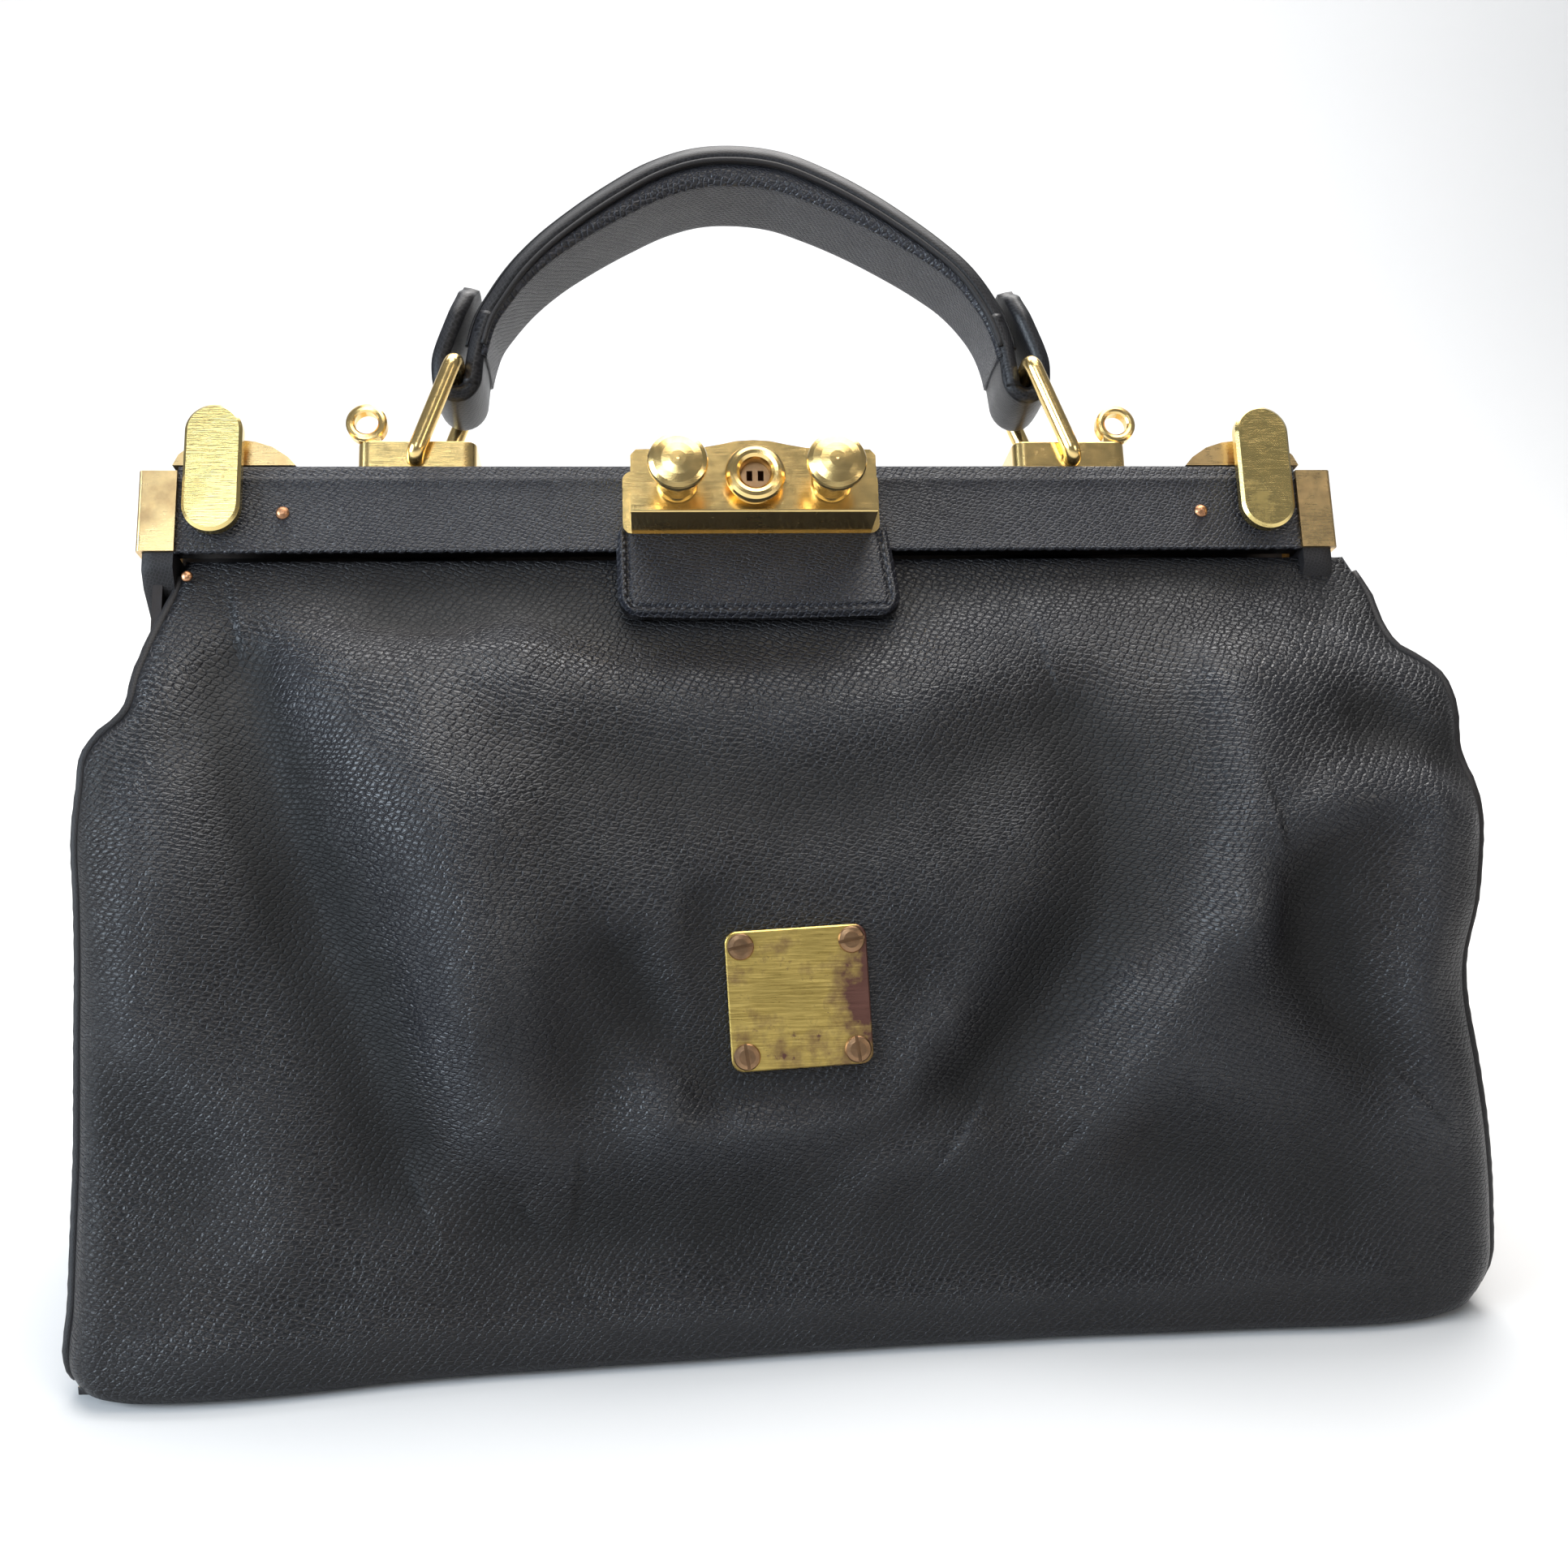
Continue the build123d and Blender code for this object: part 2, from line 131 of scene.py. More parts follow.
def fix_normals(ob):
    bm = bmesh.new()
    bm.from_mesh(ob.data)
    bmesh.ops.recalc_face_normals(bm, faces=bm.faces)
    bm.to_mesh(ob.data)
    bm.free()


def sheet(name, P, uv, mats, thick=2.0, inner=1, edge=2):
    """P: (n, m, 3) outer surface in row mm. Gives a closed sheet; inner side is one material index, the rim another."""
    n, m = P.shape[:2]
    du = np.gradient(P, axis=0)
    dv = np.gradient(P, axis=1)
    N = np.cross(du, dv)
    N /= np.maximum(np.linalg.norm(N, axis=-1, keepdims=True), 1e-9)
    Q = P - N * thick
    verts = np.concatenate([P.reshape(-1, 3), Q.reshape(-1, 3)])
    idx = np.arange(n * m).reshape(n, m)
    a = np.stack([idx[:-1, :-1], idx[1:, :-1], idx[1:, 1:], idx[:-1, 1:]], -1).reshape(-1, 4)
    b = a[:, ::-1] + n * m
    rim = []
    loop = list(idx[:, 0]) + list(idx[-1, 1:]) + list(idx[::-1, -1][1:]) + list(idx[0, ::-1][1:-1])
    for i in range(len(loop)):
        p, q = loop[i], loop[(i + 1) % len(loop)]
        rim.append((q, p, p + n * m, q + n * m))
    faces = np.concatenate([a, b, np.array(rim)])
    fm = np.concatenate([np.zeros(len(a)), np.full(len(b), inner), np.full(len(rim), edge)]).astype(int)
    uvv = np.concatenate([uv.reshape(-1, 2), uv.reshape(-1, 2)])
    return new_obj(name, verts, faces, mats, uvv, fm)


def rbox(bm, x0, x1, y0, y1, z0, z1, bev, seg=3, local=True):
    r = bmesh.ops.create_cube(bm, size=1.0)
    vs = r["verts"]
    for v in vs:
        v.co = Vector(((x0 + x1) / 2 + v.co.x * (x1 - x0), (y0 + y1) / 2 + v.co.y * (y1 - y0), (z0 + z1) / 2 + v.co.z * (z1 - z0)))
    es = list({e for v in vs for e in v.link_edges})
    if bev > 0:
        r2 = bmesh.ops.bevel(bm, geom=es, offset=bev, segments=seg, profile=0.5, affect="EDGES")


def bm_obj(name, bm, mats, local=True, shade=True):
    me = bpy.data.meshes.new(name)
    for v in bm.verts:
        p = lw(v.co) if local else v.co
        v.co = Vector(p) * MM
    bm.to_mesh(me)
    bm.free()
    for m in mats:
        me.materials.append(m)
    if shade:
        me.polygons.foreach_set("use_smooth", np.ones(len(me.polygons), bool))
    ob = bpy.data.objects.new(name, me)
    bpy.context.scene.collection.objects.link(ob)
    box_uv(ob)
    return ob


def box_uv(ob):
    """Grain UVs in metres by dominant face direction, at one scale everywhere."""
    me = ob.data
    if me.uv_layers.get("grain"):
        return
    layer = me.uv_layers.new(name="grain")
    co = np.array([v.co for v in me.vertices])
    for p in me.polygons:
        n = p.normal
        ax = max(range(3), key=lambda k: abs(n[k]))
        for li in p.loop_indices:
            c = co[me.loops[li].vertex_index]
            if ax == 0:
                layer.data[li].uv = (c[1], c[2])
            elif ax == 1:
                layer.data[li].uv = (c[0], c[2])
            else:
                layer.data[li].uv = (c[0], c[1])


def auto_smooth(ob, deg=35):
    me = ob.data
    bm = bmesh.new()
    bm.from_mesh(me)
    for e in bm.edges:
        if len(e.link_faces) == 2:
            e.smooth = e.calc_face_angle(0) < math.radians(deg)
    for f in bm.faces:
        f.smooth = True
    bm.to_mesh(me)
    bm.free()


def stitches(name, pts, nrm, length, gap, width, mat, height=None, seg=6):
    """A row of thread stitches along a polyline (row mm). nrm: outward normals at the points."""
    pts = np.asarray(pts, float)
    nrm = np.asarray(nrm, float)
    d = np.r_[0, np.cumsum(np.linalg.norm(np.diff(pts, axis=0), axis=1))]
    height = height or width
    V, F = [], []
    s = gap
    while s + length < d[-1]:
        c = []
        for q in (0.0, 0.25, 0.5, 0.75, 1.0):
            t = s + q * length
            c.append([np.interp(t, d, pts[:, k]) for k in range(3)])
        n = np.array([np.interp(s + length / 2, d, nrm[:, k]) for k in range(3)])
        n /= np.linalg.norm(n)
        c = np.array(c)
        T = c[-1] - c[0]
        T /= np.linalg.norm(T)
        B = np.cross(T, n)
        B /= np.linalg.norm(B)
        base = len(V)
        for k, q in enumerate((0.12, 0.8, 1.0, 0.8, 0.12)):
            up = (-0.25, 0.35, 0.5, 0.35, -0.25)[k] * height
            for a in range(seg):
                th = 2 * math.pi * a / seg
                V.append(c[k] + n * (up + math.sin(th) * height * 0.5 * q) + B * math.cos(th) * width * 0.5 * q)
        for k in range(4):
            for a in range(seg):
                b = (a + 1) % seg
                F.append((base + k * seg + a, base + k * seg + b, base + (k + 1) * seg + b, base + (k + 1) * seg + a))
        F.append(tuple(base + a for a in range(seg))[::-1])
        F.append(tuple(base + 4 * seg + a for a in range(seg)))
        s += length + gap
    ob = new_obj(name, V, F, [mat])
    box_uv(ob)
    return ob


# ------------------------------------------------------------------ node helpers
def mat_new(name):
    m = bpy.data.materials.new(name)
    m.use_nodes = True
    nt = m.node_tree
    for n in list(nt.nodes):
        nt.nodes.remove(n)
    out = nt.nodes.new("ShaderNodeOutputMaterial")
    bs = nt.nodes.new("ShaderNodeBsdfPrincipled")
    nt.links.new(bs.outputs[0], out.inputs[0])
    return m, nt, bs


def N(nt, kind, **kw):
    n = nt.nodes.new(kind)
    for k, v in kw.items():
        if k.startswith("in_"):
            n.inputs[k[3:].replace("_", " ")].default_value = v
        else:
            setattr(n, k, v)
    return n


def math_n(nt, op, a, b=None, clamp=False):
    n = nt.nodes.new("ShaderNodeMath")
    n.operation = op
    n.use_clamp = clamp
    for i, v in enumerate((a, b)):
        if v is None:
            continue
        if isinstance(v, (int, float)):
            n.inputs[i].default_value = v
        else:
            nt.links.new(v, n.inputs[i])
    return n.outputs[0]


def ramp(nt, fac, stops):
    n = nt.nodes.new("ShaderNodeValToRGB")
    nt.links.new(fac, n.inputs[0])
    el = n.color_ramp.elements
    while len(el) > 1:
        el.remove(el[-1])
    el[0].position = stops[0][0]
    el[0].color = stops[0][1]
    for p, c in stops[1:]:
        e = el.new(p)
        e.color = c
    return n.outputs[0]


def mix_col(nt, fac, a, b, mode="MIX"):
    n = nt.nodes.new("ShaderNodeMix")
    n.data_type = "RGBA"
    n.blend_type = mode
    if isinstance(fac, (int, float)):
        n.inputs[0].default_value = fac
    else:
        nt.links.new(fac, n.inputs[0])
    for s, v in ((6, a), (7, b)):
        if isinstance(v, tuple):
            n.inputs[s].default_value = v
        else:
            nt.links.new(v, n.inputs[s])
    return n.outputs[2]


def map_range(nt, v, a, b, c, d):
    n = nt.nodes.new("ShaderNodeMapRange")
    nt.links.new(v, n.inputs[0])
    for i, q in enumerate((a, b, c, d)):
        n.inputs[i + 1].default_value = q
    return n.outputs[0]


def leather(name, base=(0.0044, 0.0044, 0.0054), rough=(0.26, 0.38), cell=0.00165, bump=1.0, grain=True, warm=0.45, coat=0.0, spec=0.31, angle=24.0, relief=False):
    m, nt, bs = mat_new(name)
    tc = N(nt, "ShaderNodeUVMap", uv_map="grain")
    # the grain wanders in direction and size
    wob = N(nt, "ShaderNodeTexNoise", in_Scale=26.0, in_Detail=2.0, in_Roughness=0.5)
    nt.links.new(tc.outputs[0], wob.inputs["Vector"])
    off = N(nt, "ShaderNodeVectorMath", operation="SUBTRACT")
    nt.links.new(wob.outputs["Color"], off.inputs[0])
    off.inputs[1].default_value = (0.5, 0.5, 0.5)
    sc = N(nt, "ShaderNodeVectorMath", operation="SCALE")
    nt.links.new(off.outputs[0], sc.inputs[0])
    sc.inputs["Scale"].default_value = 0.0075
    add = N(nt, "ShaderNodeVectorMath", operation="ADD")
    nt.links.new(tc.outputs[0], add.inputs[0])
    nt.links.new(sc.outputs[0], add.inputs[1])
    mp = N(nt, "ShaderNodeMapping")
    mp.inputs["Rotation"].default_value = (0, 0, math.radians(angle))
    mp.inputs["Scale"].default_value = (0.80, 1.45, 1.0) if grain else (1.0, 1.2, 1.0)
    nt.links.new(add.outputs[0], mp.inputs["Vector"])
    vo = N(nt, "ShaderNodeTexVoronoi", feature="DISTANCE_TO_EDGE", voronoi_dimensions="2D")
    vo.inputs["Scale"].default_value = 1.0 / cell
    vo.inputs["Randomness"].default_value = 0.5
    nt.links.new(mp.outputs[0], vo.inputs["Vector"])
    cells = map_range(nt, vo.outputs["Distance"], 0.0, 0.24, 0.0, 1.0)
    cells = math_n(nt, "POWER", cells, 0.6)
    mp2 = N(nt, "ShaderNodeMapping")
    mp2.inputs["Rotation"].default_value = (0, 0, math.radians(angle - 52.0))
    mp2.inputs["Scale"].default_value = (0.7, 1.5, 1.0)
    nt.links.new(add.outputs[0], mp2.inputs["Vector"])
    v2 = N(nt, "ShaderNodeTexVoronoi", feature="DISTANCE_TO_EDGE", voronoi_dimensions="2D")
    v2.inputs["Scale"].default_value = 1.0 / (cell * 0.62)
    nt.links.new(mp2.outputs[0], v2.inputs["Vector"])
    fine_cells = map_range(nt, v2.outputs["Distance"], 0.0, 0.12, 0.0, 1.0)
    fine = N(nt, "ShaderNodeTexNoise", in_Scale=2600.0, in_Detail=2.0)
    nt.links.new(tc.outputs[0], fine.inputs["Vector"])
    h = math_n(nt, "ADD", math_n(nt, "MULTIPLY", cells, 0.75), math_n(nt, "MULTIPLY", fine_cells, 0.22))
    hb = math_n(nt, "ADD", h, math_n(nt, "MULTIPLY", fine.outputs["Fac"], 0.16))
    bp = N(nt, "ShaderNodeBump")
    bp.inputs["Strength"].default_value = bump
    bp.inputs["Distance"].default_value = 0.00030
    nt.links.new(hb, bp.inputs["Height"])
    big = N(nt, "ShaderNodeTexNoise", in_Scale=13.0, in_Detail=3.0)
    nt.links.new(tc.outputs[0], big.inputs["Vector"])
    med = N(nt, "ShaderNodeTexNoise", in_Scale=160.0, in_Detail=3.0)
    nt.links.new(tc.outputs[0], med.inputs["Vector"])
    r = math_n(nt, "ADD", math_n(nt, "MULTIPLY", big.outputs["Fac"], 0.55), math_n(nt, "MULTIPLY", med.outputs["Fac"], 0.45))
    ro = map_range(nt, r, 0.32, 0.68, rough[0], rough[1])
    ro = math_n(nt, "ADD", ro, math_n(nt, "MULTIPLY", math_n(nt, "SUBTRACT", 1.0, cells), 0.08), clamp=True)
    nt.links.new(ro, bs.inputs["Roughness"])
    # the creases between the pebbles have gone a dusty brown-grey with wear
    crease = tuple(c * 3.6 for c in base) + (1,)
    top = tuple(base) + (1,)
    col = mix_col(nt, cells, crease, top)
    wc = (base[0] * 2.6, base[1] * 1.9, base[2] * 1.4, 1)
    wfac = math_n(nt, "MULTIPLY", map_range(nt, big.outputs["Fac"], 0.48, 0.72, 0.0, 1.0), warm)
    col = mix_col(nt, wfac, col, wc)
    if relief:
        # rubbed folds are polished and kept shinier; the raised folds are also painted a little greyer as a painted
        # highlight, and the creases are painted near-black as painted shade and kept matt
        at = N(nt, "ShaderNodeAttribute", attribute_name="relief")
        up = map_range(nt, at.outputs["Fac"], 0.0, 0.9, 0.0, 1.0)
        dn = map_range(nt, at.outputs["Fac"], 0.0, -0.9, 0.0, 1.0)
        col = mix_col(nt, math_n(nt, "MULTIPLY", math_n(nt, "MULTIPLY", up, cells), 0.55), col, (0.026, 0.027, 0.031, 1))
        col = mix_col(nt, math_n(nt, "MULTIPLY", dn, 0.8), col, (0.0015, 0.0015, 0.0018, 1))
        ro = math_n(nt, "SUBTRACT", ro, math_n(nt, "MULTIPLY", up, 0.07))
        ro = math_n(nt, "ADD", ro, math_n(nt, "MULTIPLY", dn, 0.22), clamp=True)
        nt.links.new(ro, bs.inputs["Roughness"])
    nt.links.new(col, bs.inputs["Base Color"])
    nt.links.new(bp.outputs[0], bs.inputs["Normal"])
    bs.inputs["Specular IOR Level"].default_value = spec
    bs.inputs["Coat Weight"].default_value = coat
    bs.inputs["Coat Roughness"].default_value = 0.35
    return m


def metal(name, base, dark, rough=(0.12, 0.3), tarnish=0.35, spots=0.3, scratch=0.25, tscale=60.0, brushed=None):
    m, nt, bs = mat_new(name)
    tc = N(nt, "ShaderNodeTexCoord")
    n1 = N(nt, "ShaderNodeTexNoise", in_Scale=tscale, in_Detail=5.0, in_Roughness=0.6)
    nt.links.new(tc.outputs["Object"], n1.inputs["Vector"])
    n2 = N(nt, "ShaderNodeTexNoise", in_Scale=tscale * 5, in_Detail=4.0, in_Roughness=0.65)
    nt.links.new(tc.outputs["Object"], n2.inputs["Vector"])
    f1 = map_range(nt, n1.outputs["Fac"], 0.62 - tarnish * 0.28, 0.80 - tarnish * 0.12, 0.0, 1.0)
    f2 = map_range(nt, n2.outputs["Fac"], 0.70 - spots * 0.1, 0.76, 0.0, 1.0)
    f = math_n(nt, "MAXIMUM", math_n(nt, "MULTIPLY", f1, 0.75), math_n(nt, "MULTIPLY", f2, 0.8 if spots > 0 else 0.0), clamp=True)
    b2 = (base[0] * 1.06, base[1] * 0.94, base[2] * 0.82, 1)
    tone = mix_col(nt, n2.outputs["Fac"], tuple(base) + (1,), b2)
    col = mix_col(nt, f, tone, tuple(dark) + (1,))
    nt.links.new(col, bs.inputs["Base Color"])
    bs.inputs["Metallic"].default_value = 1.0
    # scratches: long thin noise
    mp = N(nt, "ShaderNodeMapping")
    mp.inputs["Rotation"].default_value = (0.4, 0.9, 0.6) if brushed is None else (0, 0, 0)
    mp.inputs["Scale"].default_value = (1.0, 14.0, 30.0) if brushed is None else brushed
    nt.links.new(tc.outputs["Object"], mp.inputs["Vector"])
    sn = N(nt, "ShaderNodeTexNoise", in_Scale=180.0, in_Detail=3.0)
    nt.links.new(mp.outputs[0], sn.inputs["Vector"])
    rr = math_n(nt, "ADD", math_n(nt, "MULTIPLY", n2.outputs["Fac"], 0.5), math_n(nt, "MULTIPLY", sn.outputs["Fac"], 0.5))
    ro = map_range(nt, rr, 0.35, 0.7, rough[0], rough[1])
    ro = math_n(nt, "ADD", ro, math_n(nt, "MULTIPLY", f, 0.22), clamp=True)
    nt.links.new(ro, bs.inputs["Roughness"])
    bp = N(nt, "ShaderNodeBump")
    bp.inputs["Strength"].default_value = scratch
    bp.inputs["Distance"].default_value = 0.00006
    hh = math_n(nt, "SUBTRACT", sn.outputs["Fac"], math_n(nt, "MULTIPLY", f, 0.6))
    nt.links.new(hh, bp.inputs["Height"])
    nt.links.new(bp.outputs[0], bs.inputs["Normal"])
    return m


def fabric(name, c1, c2, scale=900.0):
    m, nt, bs = mat_new(name)
    tc = N(nt, "ShaderNodeUVMap", uv_map="grain")
    hs = []
    for ang in (0, 90):
        mp = N(nt, "ShaderNodeMapping")
        mp.inputs["Rotation"].default_value = (0, 0, math.radians(ang))
        nt.links.new(tc.outputs[0], mp.inputs["Vector"])
        w = N(nt, "ShaderNodeTexWave", wave_type="BANDS", bands_direction="X")
        w.inputs["Scale"].default_value = scale * 0.16
        w.inputs["Distortion"].default_value = 0.6
        nt.links.new(mp.outputs[0], w.inputs["Vector"])
        hs.append(w.outputs["Fac"])
    h = math_n(nt, "MAXIMUM", hs[0], hs[1])
    big = N(nt, "ShaderNodeTexNoise", in_Scale=25.0, in_Detail=4.0)
    nt.links.new(tc.outputs[0], big.inputs["Vector"])
    fac = math_n(nt, "ADD", math_n(nt, "MULTIPLY", h, 0.5), math_n(nt, "MULTIPLY", big.outputs["Fac"], 0.5))
    nt.links.new(mix_col(nt, fac, c1 + (1,), c2 + (1,)), bs.inputs["Base Color"])
    bp = N(nt, "ShaderNodeBump")
    bp.inputs["Strength"].default_value = 0.4
    bp.inputs["Distance"].default_value = 0.0003
    nt.links.new(h, bp.inputs["Height"])
    nt.links.new(bp.outputs[0], bs.inputs["Normal"])
    bs.inputs["Roughness"].default_value = 0.9
    bs.inputs["Sheen Weight"].default_value = 0.2
    return m


M_LEATHER = leather("leather_grained")
# front leather: its colour carries painted fold shade and a painted fold highlight from the relief attribute
M_FRONT = leather("leather_grained_front", relief=True)
M_BAND = leather("leather_band", base=(0.0065, 0.0068, 0.0095), rough=(0.30, 0.42), cell=0.0014, bump=1.0, warm=0.1, spec=0.42)
M_HANDLE = leather("leather_handle_smooth", base=(0.0055, 0.0055, 0.0065), rough=(0.30, 0.44), cell=0.0012, bump=0.16, grain=False, warm=0.1, spec=0.29)
M_EDGE = leather("leather_cut_edge", base=(0.0065, 0.006, 0.0065), rough=(0.45, 0.6), cell=0.0009, bump=0.2, grain=False, spec=0.3)
M_LINING = fabric("lining_cotton", (0.16, 0.115, 0.07), (0.26, 0.19, 0.12))
M_THREAD = fabric("thread_black", (0.012, 0.012, 0.014), (0.05, 0.05, 0.055), 2500.0)
M_THREAD2 = fabric("thread_worn", (0.03, 0.03, 0.034), (0.085, 0.085, 0.09), 2500.0)
M_BRASS = metal("brass_polished", (0.80, 0.615, 0.27), (0.24, 0.15, 0.07), rough=(0.15, 0.27), tarnish=0.22, spots=0.25, scratch=0.2)
M_CLIP = metal("brass_clip", (0.73, 0.605, 0.26), (0.36, 0.28, 0.10), rough=(0.13, 0.29), tarnish=0.3, spots=0.25, scratch=0.55)
M_CAP = metal("brass_cap", (0.70, 0.53, 0.27), (0.17, 0.095, 0.05), rough=(0.2, 0.38), tarnish=0.62, spots=0.35, scratch=0.25)
# darkened brass for the key plug: partly tarnish, partly painted shade for the recess it sits in
M_DULL = metal("brass_brown", (0.36, 0.24, 0.14), (0.10, 0.06, 0.04), rough=(0.3, 0.5), tarnish=0.7, spots=0.4, scratch=0.2)
M_COPPER = metal("copper_rivet", (0.50, 0.27, 0.15), (0.14, 0.08, 0.05), rough=(0.25, 0.45), tarnish=0.5, spots=0.4)
M_STEEL = metal("steel_plain", (0.45, 0.45, 0.47), (0.18, 0.15, 0.13), rough=(0.28, 0.45), tarnish=0.25, spots=0.2)
# black frames: the arms are black, and the bar below the band is also darkened as painted shade for the dark recess
# there
M_BLACKMETAL = metal("frame_black_paint_and_painted_shade", (0.035, 0.033, 0.034), (0.10, 0.06, 0.04), rough=(0.38, 0.55), tarnish=0.12, spots=0.2, scratch=0.2)
M_SCREW = metal("bronze_screw", (0.30, 0.19, 0.11), (0.07, 0.045, 0.03), rough=(0.28, 0.45), tarnish=0.6, spots=0.3, scratch=0.4, tscale=140)

# ------------------------------------------------------------------ front panel
FZ = [0, 3, 10, 28, 65, 92, 112, 130, 142.5, 157, 173, 184, 191]
FY = [-77.6, -78.4, -78.4, -75.5, -67.5, -60.6, -55.4, -48.5, -41.5, -31, -14.5, -4.2, 1.6]
XLZ = [0, 3, 22, 60, 79, 115, 126, 140, 146, 150.5, 154, 164, 175, 182, 191]
XLX = [-165.5, -167, -167.6, -167.2, -166.8, -166.6, -167.4, -167.3, -166.8, -163.6, -159.0, -156.2, -152.8, -150.3, -148.6]
XRZ = [0, 2, 11, 23, 28, 64, 93, 109, 134, 144, 156, 160, 163, 167, 173, 180, 191]
XRX = [184.5, 186, 189.6, 189.4, 188.8, 182.8, 179.6, 183.2, 184.6, 183.0, 183.0, 182, 179.3, 172.4, 169.4, 168.4, 163.5]


def seg_dist(x, z, pts):
    """Distance, side (+ right of travel) and position along a polyline in (x, z)."""
    best = np.full(x.shape, 1e9)
    side = np.zeros(x.shape)
    along = np.zeros(x.shape)
    pts = np.asarray(pts, float)
    L = np.r_[0, np.cumsum(np.linalg.norm(np.diff(pts, axis=0), axis=1))]
    for i in range(len(pts) - 1):
        a, b = pts[i], pts[i + 1]
        d = b - a
        l2 = d @ d
        t = np.clip(((x - a[0]) * d[0] + (z - a[1]) * d[1]) / l2, 0, 1)
        px, pz = a[0] + t * d[0], a[1] + t * d[1]
        r = np.hypot(x - px, z - pz)
        s = ((x - a[0]) * d[1] - (z - a[1]) * d[0]) / math.sqrt(l2)
        m = r < best
        best = np.where(m, r, best)
        side = np.where(m, s, side)
        along = np.where(m, (L[i] + t * math.sqrt(l2)) / L[-1], along)
    return best, np.sign(side), along


def resample(pts, n):
    pts = np.asarray(pts, float)
    L = np.r_[0, np.cumsum(np.linalg.norm(np.diff(pts, axis=0), axis=1))]
    q = np.linspace(0, L[-1], n)
    return np.stack([interp(q, L, pts[:, k]) for k in range(pts.shape[1])], -1)


def ridge(x, z, pts, amp, wl, wr, a0=1.0, a1=1.0, fade=0.18, power=2.0):
    """A fold along a polyline. wl / wr: widths on either side (looking along it, left / right)."""
    r, s, t = seg_dist(x, z, resample(pts, 24))
    w = np.where(s > 0, wr, wl)
    k = amp * (a0 + (a1 - a0) * t) * np.exp(-(r / w) ** power)
    return k


def rise(x, z, pts, amp, w, fall, zlo, zhi):
    """A long step in the sheet: low on the left of the line, high on the right, falling away slowly further right."""
    r, side, t = seg_dist(x, z, resample(pts, 30))
    q = -side * r
    h = amp * (0.5 + 0.5 * np.tanh(q / w)) * np.exp(-np.maximum(q, 0) / fall)
    return h * smooth(zlo - 16, zlo + 18, z) * smooth(zhi + 9, zhi - 9, z)


FOLDS = [
    # polyline, height, width left, width right, start, end
    ([(-147.7, 170), (-131, 173.5), (-110.5, 171.8), (-85.6, 168.5), (-60.8, 166)], 3.0, 11, 8, 0.7, 0.8),
    ([(-60.8, 166), (-23.7, 160.3), (3.2, 158.9), (24.3, 160.4), (46.2, 165.5), (68.7, 170.8), (91.4, 174.4), (114.1, 176), (140, 174)], 3.4, 12, 16, 0.7, 1.0),
    ([(-80.2, 143.3), (-72.1, 124.9), (-68.5, 106.2), (-70.8, 89.1)], 3.4, 13, 11, 0.8, 1.0),
    ([(-130, 165), (-126, 153), (-121, 138.7), (-114, 120.5), (-107, 97.9), (-99, 76.8), (-90, 55.5)], -4.6, 9, 15, 1.0, 0.6),
    ([(-154.6, 158), (-151.7, 144.6), (-149.7, 126.7), (-150.5, 108.3), (-152, 88)], 3.8, 14, 14, 0.7, 0.7),
    ([(-169, 137.9), (-158, 145), (-146, 150.5)], -2.2, 7, 6, 1.0, 0.6),
    ([(-58, 120), (-48, 100), (-44, 82), (-46, 60)], -2.6, 16, 12, 0.6, 1.0),
    ([(-40, 146), (-8, 138), (26, 138), (58, 147)], -1.6, 13, 13, 1.0, 1.0),
    ([(80.3, 153.2), (85, 138.2), (85.2, 121.2), (80.2, 102), (71, 84.6), (58, 67.4)], -5.0, 13, 17, 0.8, 1.0),
    ([(181, 128.8), (167.1, 134.7), (152, 133.5), (138, 127.8), (128, 117.4), (121.8, 104.8)], 4.4, 8.5, 9, 1.0, 0.7),
    ([(131.5, 116.4), (136.0, 100.5), (142.3, 86.4), (154.5, 72.2)], -4.6, 15, 11, 1.0, 0.7),
    ([(182, 142.5), (169.4, 148.2), (157, 150.5)], -3.4, 6, 7, 1.0, 0.5),
    ([(170, 120), (171, 104), (166, 86), (170, 60)], 3.4, 13, 12, 1.0, 0.8),
    ([(160, 168), (172, 160), (176, 152)], 2.4, 9, 9, 0.6, 1.0),
    ([(-34.2, 99.4), (-29.4, 89.7), (-21.8, 77.9), (-14, 68.1)], -2.1, 6, 9, 0.8, 0.9),
    ([(-22, 62), (1.9, 60.6), (16, 64), (30.3, 71.2), (44.7, 79.7)], 2.6, 11, 10, 0.7, 1.0),
    ([(27.7, 46.9), (46.1, 54.1), (62.7, 65.4), (77.4, 76.6), (92.2, 89.9)], 2.2, 7, 9, 0.7, 1.0),
    ([(-147.8, 13.8), (-90, 13.0), (-11, 13.2), (70, 13.4), (153.8, 15.5)], 1.0, 5, 7, 1.0, 1.0),
    ([(-140, 78), (-128, 60), (-120, 38)], 2.2, 12, 12, 0.8, 0.8),
    ([(-60, 44), (-30, 36), (0, 34)], -1.3, 12, 12, 0.8, 0.8),
    ([(100, 52), (120, 40), (146, 36)], -1.6, 13, 13, 0.9, 0.8),
    ([(20, 120), (40, 112), (52, 98)], 1.3, 13, 13, 0.8, 0.8),
]


